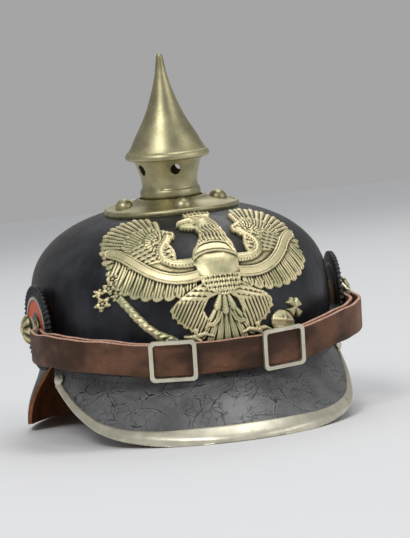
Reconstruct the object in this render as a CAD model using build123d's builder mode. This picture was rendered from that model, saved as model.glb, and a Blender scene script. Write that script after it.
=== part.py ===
"""A leather spiked helmet with its front plate, visors, chin strap and removable spike, in millimetres.

Everything is drawn upright: the spike's axis is the Z axis, the front faces -Y, and level 0 is the
front visor's lowest edge. At the end every piece gets the same placement, so that the helmet stands
on both visors' edges with the middle of its footprint at the origin.
"""

import os
from math import atan, atan2, cos, degrees, radians, sin, sqrt, tan

from build123d import *

# Skull: an oval dome, drawn in a little below its widest level
skull_half_width = 93.0
skull_half_length = 112.7
widest_level = 61.4
dome_rise = 59.6
dome_level_power = 2.61
dome_width_power = 2.3
dome_section_angles = (18, 34, 48, 60, 70, 78, 83)
brim_level = 31.4
brim_draw_in = 1.7
brim_skirt = 5.0
skull_wall = 2.8
crown_vent_radius = 13.0

# Clearances shared by several pieces
seat_gap = 0.15
hole_gap = 0.3
running_gap = 0.15
overrun = 30.0

# Front visor: a sheet that flares from the brim to an oval lower edge
front_edge_half_width = 104.6
front_edge_reach = 155.0
visor_thickness = 2.6
visor_nose = 1.2
flange_thickness = 2.4
upstand_height = 8.0
upstand_thickness = 1.8
front_flat_end = -141.0
front_end = -28.0

# Rear visor
rear_edge_half_width = 101.0
rear_edge_reach = 140.0
rear_edge_level = -29.5
rear_flare_level = 3.4
rear_flare_half_width = 98.6
rear_flare_reach = 124.5
rear_waist_level = 17.5
rear_waist_half_width = 92.6
rear_waist_reach = 115.0
rear_start = -19.0
rear_flat_start = 112.0

# Metal trim along the front visor's edge
trim_thickness = 0.9
trim_front_rise = 5.2
trim_side_rise = 8.6
trim_stud_y = -42.0
trim_stud_level = 25.6
trim_stud_radius = 3.3
trim_stud_height = 2.6
trim_shank_radius = 1.1

# Round base plate with its collar
plate_radius = 42.2
plate_thickness = 1.0
plate_rim_width = 2.6
plate_rim_thickness = 2.0
boss_radius = 21.6
boss_level = 124.3
boss_slope = 4.5
collar_radius = 15.6
collar_wall = 0.9
collar_height = 13.0
slot_width = 3.2
slot_entry_angle = 30.0
slot_level = 131.5

# Domed studs of the base plate and their leather washers
base_stud_circle = 30.0
base_stud_radius = 5.7
base_stud_height = 4.4
base_stud_shank = 1.9
prong_length = 13.0
prong_width = 3.4
prong_thickness = 1.0
prong_split = 0.8
washer_radius = 6.4
washer_thickness = 2.0
washer_sag = 0.35

# Spike: a flared hollow cone on a neck with vent holes
spike_tip_level = 215.5
spike_tip_radius = 1.9
cone_rim_level = 151.3
cone_rim_radius = 26.4
cone_rim_thickness = 2.6
cone_wall = 1.0
cone_hollow_top = 196.0
cone_level_shares = (0.82, 0.68, 0.52, 0.38, 0.25, 0.12)
cone_radius_shares = (0.77, 0.555, 0.388, 0.258, 0.155, 0.105)
neck_top_radius = 22.3
neck_waist_radius = 18.3
neck_waist_level = 134.5
neck_wall = 0.9
bead_radius = 18.9
bead_height = 5.6
neck_guide_height = 4.0
vent_count = 5
vent_radius = 3.4
vent_level = 144.2
pin_radius = 1.4
pin_count = 3

# Cockades and the screws that carry the strap
lug_y = -22.0
lug_level = 56.0
lug_head_radius = 8.5
lug_head_outer = 106.5
lug_head_thickness = 5.0
lug_petals = 8
lug_petal_depth = 1.3
lug_neck_radius = 4.0
lug_shoulder_radius = 6.4
lug_shoulder_thickness = 1.0
lug_shank_radius = 2.4
cockade_radius = 26.4
cockade_thickness = 0.9
cockade_dish = 1.5
cockade_teeth = 48
cockade_tooth_depth = 1.0
cockade_tooth_width = 1.5
cockade_tooth_height = 0.5
cockade_ring_radius = 18.6
cockade_ring_width = 1.8
cockade_ring_height = 0.7
lug_washer_radius = 8.0
lug_washer_thickness = 1.0
lug_nut_radius = 5.6
lug_nut_thickness = 2.6

# Chin strap, drawn in its own slightly tilted plane
strap_width = 19.5
strap_thickness = 2.2
strap_front_reach = 119.6
strap_half_width = 103.6
strap_front_level = 42.6
strap_tilt = 4.0
strap_end_y = -43.0
strap_bar_y = -39.0
strap_fold_gap = 3.4
strap_front_gap = 0.6
strap_inner_start = 37.0

# Buckles on the strap
buckle_x = 33.5
buckle_length = 28.0
buckle_height = 24.4
buckle_bar = 2.4
buckle_thickness = 1.8
buckle_corner = 3.0
buckle_middle_radius = 1.1

# Strap end fittings
fitting_thickness = 1.2
fitting_ring_radius = 7.6
fitting_bar_radius = 1.4
fitting_arm = 1.8
fitting_upright = 2.6

# Eagle plate: a spread-winged eagle stamped in thin sheet, drawn on a plane that leans with the dome
eagle_half_span = 62.0
eagle_height = 94.0
eagle_lean = 25.0
eagle_centre_y = -105.0
eagle_centre_level = 85.0
eagle_gap = 0.3
eagle_sheet = 1.2
eagle_low_relief = 2.0
eagle_mid_relief = 2.9
eagle_high_relief = 4.2
eagle_depth_behind = 56.0
eagle_depth_ahead = 14.0
wing_feather_width = 9.4
wing_covert_width = 7.4
ribbon_width = 5.6
tail_feather_width = 7.6
claw_width = 4.4
sceptre_width = 2.6
cross_width = 2.4

# The eagle's outline, as shares of its half span and its height
wing_tip_shares = (
    (0.387, 0.585), (0.532, 0.628), (0.694, 0.617), (0.839, 0.564), (0.935, 0.479),
    (0.990, 0.372), (1.000, 0.266), (0.968, 0.160), (0.903, 0.064), (0.790, -0.010),
    (0.661, -0.058), (0.532, -0.080), (0.403, -0.085), (0.274, -0.069),
)
wing_centre_share = (0.42, 0.255)
wing_root_share = 0.35
covert_root_share = 0.18
covert_tip_share = 0.66
scale_root_share = 0.05
scale_tip_share = 0.4
wing_fill_share = (0.581, 0.234)
wing_fill_size_share = (0.258, 0.202)
covert_fill_size_share = (0.12, 0.08)
shoulder_shares = ((0.000, 0.170), (0.226, 0.181), (0.452, 0.160), (0.581, 0.043), (0.355, -0.043), (0.000, -0.085))
ribbon_shares = ((0.210, 0.032), (0.452, 0.048), (0.645, 0.128), (0.806, 0.277), (0.919, 0.372))
chest_share = (0.0, 0.043)
chest_size_share = (0.218, 0.213)
belly_size_share = (0.19, 0.19)
neck_shares = ((-0.145, 0.149), (-0.077, 0.319), (-0.081, 0.489), (0.105, 0.489), (0.165, 0.298), (0.161, 0.149))
head_share = (0.016, 0.489)
head_size_share = (0.113, 0.08)
beak_shares = ((-0.032, 0.548), (-0.145, 0.521), (-0.218, 0.457), (-0.177, 0.441), (-0.097, 0.457), (-0.016, 0.426))
crown_shares = ((0.008, 0.521), (0.008, 0.562), (0.052, 0.581), (0.121, 0.590), (0.184, 0.579), (0.213, 0.548), (0.177, 0.511))
thigh_right_shares = (
    (-0.153, -0.016), (-0.321, -0.060), (-0.474, -0.121), (-0.508, -0.166), (-0.476, -0.212), (-0.419, -0.253),
    (-0.335, -0.298), (-0.245, -0.311), (-0.176, -0.282), (-0.156, -0.238), (-0.194, -0.182), (-0.135, -0.120),
    (-0.040, -0.101),
)
thigh_left_shares = (
    (0.169, -0.016), (0.335, -0.085), (0.463, -0.116), (0.523, -0.166), (0.489, -0.224), (0.385, -0.294),
    (0.311, -0.304), (0.224, -0.294), (0.185, -0.255), (0.176, -0.185), (0.137, -0.136), (0.056, -0.101),
)
claw_right_shares = ((-0.452, -0.309), (-0.323, -0.319), (-0.177, -0.362))
claw_left_shares = ((0.194, -0.362), (0.323, -0.319), (0.548, -0.298))
tail_tip_shares = ((-0.226, -0.362), (-0.119, -0.404), (0.000, -0.420), (0.119, -0.404), (0.226, -0.362))
tail_root_share = (0.0, -0.085)
orb_share = (0.589, -0.284)
orb_size_share = (0.105, 0.069)
orb_cross_shares = ((0.645, -0.255), (0.815, -0.133))
orb_bar_shares = ((0.702, -0.160), (0.806, -0.218))
sceptre_shares = ((-0.323, -0.319), (-0.581, -0.298), (-0.816, -0.126), (-0.935, 0.032), (-1.065, 0.128))
sceptre_head_share = (-1.065, 0.115)
sceptre_head_size_share = (0.08, 0.09)

# Loops on the eagle plate's back, and the wedges that hold them inside the skull
loop_x = 30.0
loop_level = 92.0
loop_width = 9.0
loop_reach = 9.8
loop_thickness = 1.4
loop_eye_width = 6.0
loop_eye_height = 3.4
loop_eye_depth = 6.3
wedge_length = 16.0
wedge_width = 5.4
wedge_thickness = 2.8

# Rear spine
spine_width = 12.5
spine_thickness = 1.0
spine_start_gap = 1.0
spine_stud_radius = 4.6
spine_stud_height = 3.2
spine_stud_shank = 1.5
spine_stud_levels = (100.0, 44.0)

# Leather liner
liner_thickness = 1.4
liner_top_level = 104.0
liner_rise = 72.0
liner_draw_in_power = 1.6
liner_section_shares = (0.08, 0.2, 0.35, 0.52, 0.7, 0.87, 1.0)
liner_fingers = 8
liner_slot_width = 7.0
liner_hole_radius = 2.6
liner_slot_level = 60.0
liner_tip_share = 0.46


def skull_share(level):
    """Share of the skull's half width and half length at a level."""
    if level >= widest_level:
        rise_share = (level - widest_level) / dome_rise
        return (1 - rise_share**dome_level_power) ** (1 / dome_width_power)
    drop_share = (widest_level - level) / (widest_level - brim_level)
    return 1 - brim_draw_in / skull_half_width * drop_share**2


def oval_loft(sections, ruled=False):
    """Solid through level ovals, each given as half width, half length and level."""
    with BuildPart() as body:
        for half_width, half_length, level in sections:
            with BuildSketch(Plane.XY.offset(level)):
                Ellipse(half_width, half_length)
        loft(ruled=ruled)
    return body.part


def dome(gap):
    """Solid oval dome whose face stands `gap` outside the skull's, with a skirt below the brim."""
    levels = [brim_level, (brim_level + widest_level) / 2, widest_level]
    levels += [widest_level + dome_rise * sin(radians(angle)) for angle in dome_section_angles]
    sections = []
    for level in levels:
        share = skull_share(level)
        rise = max(level - widest_level, 0) * (1 + gap / dome_rise)
        height = min(level, widest_level) + rise
        sections.append(((skull_half_width + gap) * share, (skull_half_length + gap) * share, height))
    draw_in = 2 * brim_draw_in / (widest_level - brim_level) * brim_skirt
    half_width, half_length, level = sections[0]
    sections.insert(0, (half_width - draw_in, half_length - draw_in, level - brim_skirt))
    return oval_loft(sections)


def skin(low, high):
    """Oval dome-shaped skin above the brim, between two distances from the skull's outer face."""
    return (dome(high) - dome(low)) & oval_prism(2 * skull_half_width, 2 * skull_half_length, brim_level, overrun * 6)


def skull_normal(x, y, level):
    """Outward direction of the skull's face at a point on it."""
    if level >= widest_level:
        rise_share = (level - widest_level) / dome_rise
        slope = -(dome_level_power / dome_width_power) * rise_share ** (dome_level_power - 1)
        slope *= (1 - rise_share**dome_level_power) ** (1 / dome_width_power - 1) / dome_rise
    else:
        slope = 2 * brim_draw_in / skull_half_width * (widest_level - level) / (widest_level - brim_level) ** 2
    return Vector(x / skull_half_width**2, y / skull_half_length**2, -skull_share(level) * slope).normalized()


def skull_plane(point, gap):
    """Plane that lies on the skull at a point, `gap` outside its face, with its X direction level."""
    normal = skull_normal(*point)
    side = Vector(0, 0, 1).cross(normal)
    if side.length < sin(radians(1)):
        side = Vector(1, 0, 0)
    return Plane(origin=Vector(*point) + normal * gap, x_dir=side.normalized(), z_dir=normal)


def crown_point(x, y):
    """Point on the skull's upper face above a place in plan."""
    share = sqrt((x / skull_half_width) ** 2 + (y / skull_half_length) ** 2)
    rise_share = (1 - share**dome_width_power) ** (1 / dome_level_power)
    return (x, y, widest_level + dome_rise * rise_share)


def front_point(x, level):
    """Point on the skull's front at a distance from the middle and a level."""
    return (x, -skull_half_length * sqrt(skull_share(level) ** 2 - (x / skull_half_width) ** 2), level)


def rear_point(level):
    """Point on the skull's middle line at the back."""
    return (0, skull_half_length * skull_share(level), level)


def oval_prism(half_width, half_length, low, high):
    """Upright oval prism."""
    with BuildPart() as body:
        with BuildSketch(Plane.XY.offset(low)):
            Ellipse(half_width, half_length)
        extrude(amount=high - low)
    return body.part


def side_prism(lower, upper):
    """Prism across the whole helmet, between two lines of its side view, given as (y, level) points.

    Each line is straight between its first two points and a smooth curve after them.
    """
    with BuildPart() as body:
        with BuildSketch(Plane.YZ):
            with BuildLine():
                for points in (lower, upper):
                    Line(points[0], points[1])
                    if len(points) > 2:
                        Spline(*points[1:])
                Line(lower[0], upper[0])
                Line(lower[-1], upper[-1])
            make_face()
        extrude(amount=skull_half_width + overrun, both=True)
    return body.part


def domed_head(plane, radius, height):
    """Round domed rivet head that stands on a plane and reaches as far below it, to be cut to its seat."""
    cap_radius = (radius**2 + height**2) / (2 * height)
    half_way = radius * sin(radians(45))
    half_height = height - cap_radius + sqrt(cap_radius**2 - half_way**2)
    with BuildPart() as body:
        with BuildSketch(Plane(origin=plane.origin, x_dir=plane.x_dir, z_dir=-plane.y_dir)):
            with BuildLine():
                ThreePointArc((radius, 0), (half_way, half_height), (0, height))
                Polyline((0, height), (0, -height), (radius, -height), (radius, 0))
            make_face()
        revolve(axis=Axis(plane.origin, plane.z_dir))
    return body.part


def shank(plane, radius, depth, proud=0.0):
    """Round shank that runs `depth` below a plane and `proud` above it."""
    with BuildPart() as body:
        with BuildSketch(plane.offset(-depth)):
            Circle(radius)
        extrude(amount=depth + proud)
    return body.part


def disc(plane, outer, inner, thickness):
    """Flat ring that lies on a plane."""
    with BuildPart() as body:
        with BuildSketch(plane):
            Circle(outer)
            if inner:
                Circle(inner, mode=Mode.SUBTRACT)
        extrude(amount=thickness)
    return body.part


# The resting plane runs from the trim's front edge to the rear visor's edge
rest_front_y = visor_nose - front_edge_reach - trim_thickness
rest_slope = (rear_edge_level + trim_thickness) / (rear_edge_reach - rest_front_y)


def rest_level(y):
    """Level of the resting plane at a place along the helmet."""
    return rest_slope * (y - rest_front_y) - trim_thickness


# Ovals at the brim, where both visors join the skull
brim_half_width = skull_half_width - brim_draw_in
brim_half_length = skull_half_length * brim_half_width / skull_half_width
front_side_slope = (front_edge_half_width - brim_half_width) / brim_level
front_slope = (front_edge_reach - brim_half_length) / brim_level
upstand_half_width = (skull_half_width - skull_wall) * skull_share(brim_level) - seat_gap
upstand_half_length = (skull_half_length - skull_wall) * skull_share(brim_level) - seat_gap
visor_low = rest_level(rear_edge_reach) - trim_thickness - visor_nose
high_level = brim_level + upstand_height


def front_cone(offset, low, high=brim_level):
    """Solid cone whose side stands `offset` outside the front visor's upper face."""
    side = offset * sqrt(1 + front_side_slope**2)
    ahead = offset * sqrt(1 + front_slope**2)
    sections = []
    for level in (high, low):
        drop = brim_level - level
        half_width = brim_half_width + front_side_slope * drop + side
        sections.append((half_width, brim_half_length + front_slope * drop + ahead, level))
    return oval_loft(sections, ruled=True)


def rear_bell(offset, low_extra=0.0):
    """Solid flared body whose side stands `offset` outside the rear visor's outer face."""
    sections = [
        (rear_waist_half_width, rear_waist_reach, rear_waist_level),
        (rear_flare_half_width, rear_flare_reach, rear_flare_level),
        (rear_edge_half_width, rear_edge_reach, rear_edge_level),
    ]
    flare = (rear_edge_reach - rear_flare_reach) / (rear_flare_level - rear_edge_level)
    drop = visor_nose + low_extra
    sections.append((rear_edge_half_width, rear_edge_reach + flare * drop, rear_edge_level - drop))
    ovals = [(width + offset, reach + offset, level) for width, reach, level in sections]
    share = skull_share(brim_level)
    top = ((skull_half_width + offset) * share, (skull_half_length + offset) * share, brim_level)
    return oval_loft([top] + ovals)


def head_opening(body_top):
    """Tool that opens a visor's flange to the inside of its upstand."""
    half_width = upstand_half_width - upstand_thickness
    half_length = upstand_half_length - upstand_thickness
    return oval_prism(half_width, half_length, visor_low - overrun, body_top + overrun)


def upstand():
    """Ring that stands inside the skull's wall, to which the wall is sewn."""
    ring = oval_prism(upstand_half_width, upstand_half_length, brim_level - flange_thickness, high_level)
    return ring - head_opening(high_level)


# Lower edges in side view, from the flat that stands on the table to the brim
front_edge_shares = (
    (0.080, 0.005), (0.186, 0.035), (0.292, 0.084), (0.398, 0.148), (0.504, 0.246),
    (0.628, 0.375), (0.761, 0.538), (0.885, 0.694), (0.930, 0.772), (0.965, 0.850),
)
rear_edge_shares = (
    (0.130, 0.033), (0.320, 0.091), (0.473, 0.146), (0.580, 0.194), (0.641, 0.254),
    (0.672, 0.357), (0.698, 0.495), (0.748, 0.649), (0.824, 0.795), (0.916, 0.916),
)
far_front = -front_edge_reach - overrun
far_rear = rear_edge_reach + overrun


def edge_points(shares, flat_end, end, far, lift):
    """Lower edge of a visor in side view: its flat, then the rise to the brim at its end."""
    low = rest_level(flat_end) + lift
    points = [(far, rest_level(far) + lift), (flat_end, low)]
    for along, up in shares:
        points.append((flat_end + along * (end - flat_end), low + up * (brim_level - low)))
    points.append((end, brim_level))
    return points


# Sew lines and joints need the visors as solids between a front and a back limit
front_edge = edge_points(front_edge_shares, front_flat_end, front_end, far_front, trim_thickness)
front_reach_prism = side_prism(front_edge, [(far_front, high_level), (front_end, high_level)])

with BuildPart() as front_visor:
    add(front_cone(0, visor_low))
    add(front_cone(-visor_thickness, visor_low - visor_nose, brim_level - flange_thickness), mode=Mode.SUBTRACT)
    add(head_opening(brim_level), mode=Mode.SUBTRACT)
    add(upstand())
    nose_half_width = front_edge_half_width - visor_nose
    nose_reach = front_edge_reach - visor_nose
    add(oval_prism(nose_half_width, nose_reach, visor_low, high_level), mode=Mode.INTERSECT)
    add(front_reach_prism, mode=Mode.INTERSECT)

rear_edge = edge_points(rear_edge_shares, rear_flat_start, rear_start, far_rear, 0)
with BuildPart() as rear_visor:
    add(rear_bell(0))
    with BuildPart(mode=Mode.PRIVATE) as rear_inside:
        add(rear_bell(-visor_thickness, visor_nose))
        cut_level = brim_level - flange_thickness
        split_plane = Plane.XY.offset(cut_level)
        split(bisect_by=split_plane, keep=Keep.BOTTOM)
    add(rear_inside.part, mode=Mode.SUBTRACT)
    add(head_opening(brim_level), mode=Mode.SUBTRACT)
    add(upstand())
    add(side_prism(rear_edge, [(far_rear, high_level), (rear_start, high_level)]), mode=Mode.INTERSECT)

# Trim: a channel that holds the front visor's edge
trim_share_count = len(front_edge_shares) - 1
trim_low = edge_points(front_edge_shares, front_flat_end, front_end, far_front, 0)[: trim_share_count + 2]
trim_inside = edge_points(front_edge_shares, front_flat_end, front_end, far_front, trim_thickness - seat_gap)


def trim_rise(y):
    """Height of the trim's band in side view, from its front to its ends."""
    share = (y - front_flat_end) / (front_end - front_flat_end)
    return trim_front_rise + (trim_side_rise - trim_front_rise) * max(share, 0)


trim_high = [(y, min(level + trim_rise(y), brim_level - seat_gap)) for y, level in trim_low]

with BuildPart() as trim_seat:
    add(front_cone(seat_gap, visor_low))
    add(front_cone(-visor_thickness - seat_gap, visor_low - visor_nose), mode=Mode.SUBTRACT)
    add(
        oval_prism(nose_half_width + seat_gap, nose_reach + seat_gap, visor_low, high_level),
        mode=Mode.INTERSECT,
    )
    add(side_prism(trim_inside, [(far_front, high_level), (front_end, high_level)]), mode=Mode.INTERSECT)

with BuildPart() as visor_trim:
    add(front_cone(trim_thickness, visor_low))
    add(front_cone(-visor_thickness - trim_thickness, visor_low - visor_nose), mode=Mode.SUBTRACT)
    add(
        oval_prism(nose_half_width + trim_thickness, nose_reach + trim_thickness, visor_low, high_level),
        mode=Mode.INTERSECT,
    )
    add(side_prism(trim_low, trim_high), mode=Mode.INTERSECT)
    add(trim_seat.part, mode=Mode.SUBTRACT)
    add(front_cone(-visor_thickness / 2, brim_level - flange_thickness - seat_gap), mode=Mode.SUBTRACT)

trim_studs_at = []
for side in (-1, 1):
    stud_drop = brim_level - trim_stud_level
    stud_half_width = brim_half_width + front_side_slope * stud_drop
    stud_half_length = brim_half_length + front_slope * stud_drop
    stud_x = side * stud_half_width * sqrt(1 - (trim_stud_y / stud_half_length) ** 2)
    stud_normal = Vector(stud_x / stud_half_width**2, trim_stud_y / stud_half_length**2, 0).normalized()
    stud_normal = (stud_normal + Vector(0, 0, front_side_slope)).normalized()
    stud_side = Vector(0, 0, 1).cross(stud_normal).normalized()
    trim_studs_at.append(Plane(Vector(stud_x, trim_stud_y, trim_stud_level), stud_side, stud_normal))

with BuildPart() as visor_trim_studs:
    for stud_plane in trim_studs_at:
        add(domed_head(stud_plane.offset(trim_thickness), trim_stud_radius, trim_stud_height))
    add(front_cone(trim_thickness + seat_gap, visor_low), mode=Mode.SUBTRACT)
    for stud_plane in trim_studs_at:
        shank_depth = visor_thickness + 2 * trim_thickness
        add(shank(stud_plane, trim_shank_radius, shank_depth, trim_thickness + trim_stud_height / 2))

for stud_plane in trim_studs_at:
    hole = shank(stud_plane, trim_shank_radius + seat_gap, overrun / 2, overrun / 2)
    front_visor.part = front_visor.part - hole
    visor_trim.part = visor_trim.part - hole

# Skull: the pressed leather dome with the holes for what it carries
base_studs_at = []
for angle in (0, 90, 180, 270):
    stud_x = base_stud_circle * cos(radians(angle))
    stud_y = base_stud_circle * sin(radians(angle))
    base_studs_at.append(crown_point(stud_x, stud_y))
loops_at = [front_point(side * loop_x, loop_level) for side in (-1, 1)]
spine_studs_at = [rear_point(level) for level in spine_stud_levels]
lugs_at = [Plane(Vector(0, lug_y, lug_level), Vector(0, side, 0), Vector(side, 0, 0)) for side in (-1, 1)]

with BuildPart() as shell:
    add(skin(-skull_wall, 0))
    Cylinder(crown_vent_radius, 4 * skull_half_length, mode=Mode.SUBTRACT)
    for point in base_studs_at:
        add(shank(skull_plane(point, 0), base_stud_shank + hole_gap, overrun / 2, overrun / 2), mode=Mode.SUBTRACT)
    for point in spine_studs_at:
        add(shank(skull_plane(point, 0), spine_stud_shank + hole_gap, overrun / 2, overrun / 2), mode=Mode.SUBTRACT)
    for point in loops_at:
        with BuildSketch(skull_plane(point, 0)):
            Rectangle(loop_width + 2 * hole_gap, loop_thickness + 2 * hole_gap)
        extrude(amount=overrun / 2, both=True, mode=Mode.SUBTRACT)
    for lug_plane in lugs_at:
        add(shank(lug_plane, lug_shank_radius + hole_gap, 0, skull_half_width + overrun), mode=Mode.SUBTRACT)

# Base plate: a dished disc with a rolled rim, a raised boss and a collar with bayonet slots
boss_top = Plane.XY.offset(boss_level)
crown_level = widest_level + dome_rise
with BuildPart() as plate_rim:
    add(dome(seat_gap + plate_rim_thickness))
    with BuildSketch(Plane.XY):
        Circle(plate_radius)
        Circle(plate_radius - plate_rim_width, mode=Mode.SUBTRACT)
    extrude(amount=2 * skull_half_length, mode=Mode.INTERSECT)

with BuildPart() as boss:
    with BuildSketch(boss_top):
        Circle(boss_radius)
    with BuildSketch(boss_top.offset(crown_level - boss_level - boss_slope)):
        Circle(boss_radius + boss_slope)
    loft(ruled=True)
    with BuildSketch(boss_top):
        Circle(collar_radius)
    extrude(amount=collar_height)

with BuildPart() as base_plate:
    add(dome(seat_gap + plate_thickness))
    Cylinder(plate_radius, 4 * skull_half_length, mode=Mode.INTERSECT)
    add(plate_rim.part)
    add(boss.part)
    add(dome(seat_gap), mode=Mode.SUBTRACT)
    Cylinder(collar_radius - collar_wall, 4 * skull_half_length, mode=Mode.SUBTRACT)
    for index in range(pin_count):
        locked = 360 / pin_count * index
        with BuildSketch(Plane.XZ.rotated((0, 0, locked))):
            with Locations((collar_radius, slot_level)):
                Rectangle(4 * collar_wall, slot_width)
        revolve(axis=Axis.Z, revolution_arc=slot_entry_angle, mode=Mode.SUBTRACT)
        for angle in (locked, locked + slot_entry_angle):
            with BuildSketch(Plane.YZ.rotated((0, 0, angle))):
                with Locations((0, slot_level)):
                    Circle(slot_width / 2)
                if angle > locked:
                    with Locations((0, slot_level + collar_height / 2)):
                        Rectangle(slot_width, collar_height)
            extrude(amount=collar_radius + collar_wall, mode=Mode.SUBTRACT)
    for point in base_studs_at:
        hole = shank(skull_plane(point, 0), base_stud_shank + seat_gap, overrun / 2, overrun / 2)
        add(hole, mode=Mode.SUBTRACT)

# Studs of the base plate: a domed head outside, and two prongs bent apart over a leather washer inside
with BuildPart() as base_studs:
    for point in base_studs_at:
        add(domed_head(skull_plane(point, seat_gap + plate_thickness), base_stud_radius, base_stud_height))
    add(skin(2 * seat_gap + plate_thickness, overrun), mode=Mode.INTERSECT)
    prong_gap = skull_wall + washer_sag + washer_thickness + 2 * seat_gap
    for point in base_studs_at:
        stud_plane = skull_plane(point, 0)
        shank_depth = prong_gap + prong_thickness
        add(shank(stud_plane, base_stud_shank, shank_depth, plate_thickness + base_stud_height / 2))
        with BuildSketch(stud_plane.offset(-shank_depth)):
            Rectangle(prong_length, prong_width)
        extrude(amount=prong_thickness)
        with BuildSketch(stud_plane.offset(-shank_depth)):
            Rectangle(prong_split, prong_width + prong_split)
        extrude(amount=prong_gap / 2, mode=Mode.SUBTRACT)

with BuildPart() as base_washers:
    for point in base_studs_at:
        washer_plane = skull_plane(point, -skull_wall - washer_sag - washer_thickness - seat_gap)
        add(disc(washer_plane, washer_radius, base_stud_shank + hole_gap, washer_thickness))

# Rear spine: a metal strip down the back of the skull and the rear visor
with BuildPart() as spine_lower:
    add(rear_bell(seat_gap + spine_thickness))
    add(rear_bell(seat_gap, visor_nose), mode=Mode.SUBTRACT)
    with BuildSketch(Plane.XY.offset(rear_edge_level + spine_thickness)):
        Rectangle(4 * skull_half_width, 4 * skull_half_length)
    extrude(amount=brim_level - rear_edge_level - spine_thickness, mode=Mode.INTERSECT)

with BuildPart() as rear_spine:
    add(skin(seat_gap, seat_gap + spine_thickness))
    add(spine_lower.part)
    with BuildSketch(Plane.XZ):
        with Locations((0, skull_half_length)):
            Rectangle(spine_width, 4 * skull_half_length)
    extrude(amount=-skull_half_length - 2 * overrun, mode=Mode.INTERSECT)
    Cylinder(plate_radius + spine_start_gap, 4 * skull_half_length, mode=Mode.SUBTRACT)
    for point in spine_studs_at:
        hole = shank(skull_plane(point, 0), spine_stud_shank + seat_gap, overrun / 2, overrun / 2)
        add(hole, mode=Mode.SUBTRACT)

with BuildPart() as rear_spine_studs:
    for point in spine_studs_at:
        add(domed_head(skull_plane(point, seat_gap + spine_thickness), spine_stud_radius, spine_stud_height))
    add(skin(2 * seat_gap + spine_thickness, overrun), mode=Mode.INTERSECT)
    for point in spine_studs_at:
        stud_plane = skull_plane(point, 0)
        clench_gap = skull_wall * skull_half_length / skull_half_width + 2 * seat_gap
        add(shank(stud_plane, spine_stud_shank, clench_gap, spine_thickness + spine_stud_height / 2))
        add(disc(stud_plane.offset(-clench_gap - spine_thickness), 2 * spine_stud_shank, 0, spine_thickness))

# Spike: a hollow flared cone that stands on a waisted neck
cone_base = cone_rim_level + cone_rim_thickness
cone_length = spike_tip_level - cone_base
cone_outside = [(cone_rim_radius - cone_wall, cone_base)]
for level_share, radius_share in zip(cone_level_shares, cone_radius_shares):
    cone_outside.append((cone_rim_radius * radius_share, cone_base + cone_length * (1 - level_share)))
tip_start = (spike_tip_radius, spike_tip_level - spike_tip_radius)
inside_low = cone_rim_level + cone_wall
cone_inside = [(cone_rim_radius - 2 * cone_wall - cone_rim_thickness, inside_low)]
for radius, level in cone_outside[1:]:
    if level < cone_hollow_top - cone_rim_thickness:
        cone_inside.append((radius - cone_wall * sqrt(2), level))

with BuildPart() as spike_cone:
    with BuildSketch(Plane.XZ):
        with BuildLine():
            Line((0, cone_rim_level), (cone_rim_radius, cone_rim_level))
            Line((cone_rim_radius, cone_rim_level), (cone_rim_radius, cone_base - cone_wall / 2))
            Line((cone_rim_radius, cone_base - cone_wall / 2), cone_outside[0])
            Spline(*cone_outside, tip_start)
            RadiusArc(tip_start, (0, spike_tip_level), -spike_tip_radius)
            Line((0, spike_tip_level), (0, cone_rim_level))
        make_face()
    revolve(axis=Axis.Z)
    with BuildSketch(Plane.XZ):
        with BuildLine():
            Polyline(cone_inside[0], (0, inside_low), (0, cone_hollow_top))
            Spline(*cone_inside, (0, cone_hollow_top))
        make_face()
    revolve(axis=Axis.Z, mode=Mode.SUBTRACT)
    neck_mouth = neck_top_radius - neck_wall
    with BuildSketch(Plane.XY.offset(cone_rim_level)):
        Circle(neck_mouth)
    extrude(amount=cone_wall, mode=Mode.SUBTRACT)

neck_foot = boss_level + seat_gap
bead_top = neck_foot + bead_height
guide_top = neck_foot + neck_guide_height
with BuildPart() as spike_neck:
    with BuildSketch(Plane.XZ):
        with BuildLine():
            Polyline(
                (collar_radius + running_gap, neck_foot), (bead_radius, neck_foot),
                (bead_radius, bead_top), (neck_waist_radius, bead_top),
            )
            Spline(
                (neck_waist_radius, bead_top), (neck_waist_radius, neck_waist_level),
                (neck_top_radius, cone_rim_level), tangents=[(0, 1), (1, 1)],
            )
            Line((neck_top_radius, cone_rim_level), (neck_mouth, cone_rim_level))
            Spline(
                (neck_waist_radius - neck_wall, guide_top), (neck_waist_radius - neck_wall, neck_waist_level),
                (neck_mouth, cone_rim_level), tangents=[(0, 1), (1, 1)],
            )
            Polyline(
                (neck_waist_radius - neck_wall, guide_top), (collar_radius + running_gap, guide_top),
                (collar_radius + running_gap, neck_foot),
            )
        make_face()
    revolve(axis=Axis.Z)
    fillet(spike_neck.edges().filter_by(GeomType.CIRCLE).group_by(Axis.Z)[0].sort_by(SortBy.RADIUS)[-1], neck_wall)
    for index in range(vent_count):
        with BuildSketch(Plane.XZ.rotated((0, 0, 360 / vent_count * index))):
            with Locations((0, vent_level)):
                Circle(vent_radius)
        extrude(amount=neck_top_radius + overrun, mode=Mode.SUBTRACT)
    for index in range(pin_count):
        with BuildSketch(Plane.YZ.rotated((0, 0, 360 / pin_count * index))):
            with Locations((0, slot_level)):
                Circle(pin_radius)
        extrude(amount=neck_waist_radius - neck_wall / 2, mode=Mode.SUBTRACT)

with BuildPart() as bayonet_pins:
    for index in range(pin_count):
        pin_root = Plane.YZ.rotated((0, 0, 360 / pin_count * index)).offset(collar_radius - collar_wall + seat_gap)
        with BuildSketch(pin_root):
            with Locations((0, slot_level)):
                Circle(pin_radius)
        extrude(amount=neck_waist_radius - neck_wall / 2 - collar_radius + collar_wall - seat_gap)

# Cockades on their pads, and the screws that hold them and carry the strap
cockade_seat = skull_half_width + seat_gap
cockade_front = cockade_seat + cockade_thickness
head_start = lug_head_outer - lug_head_thickness


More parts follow.
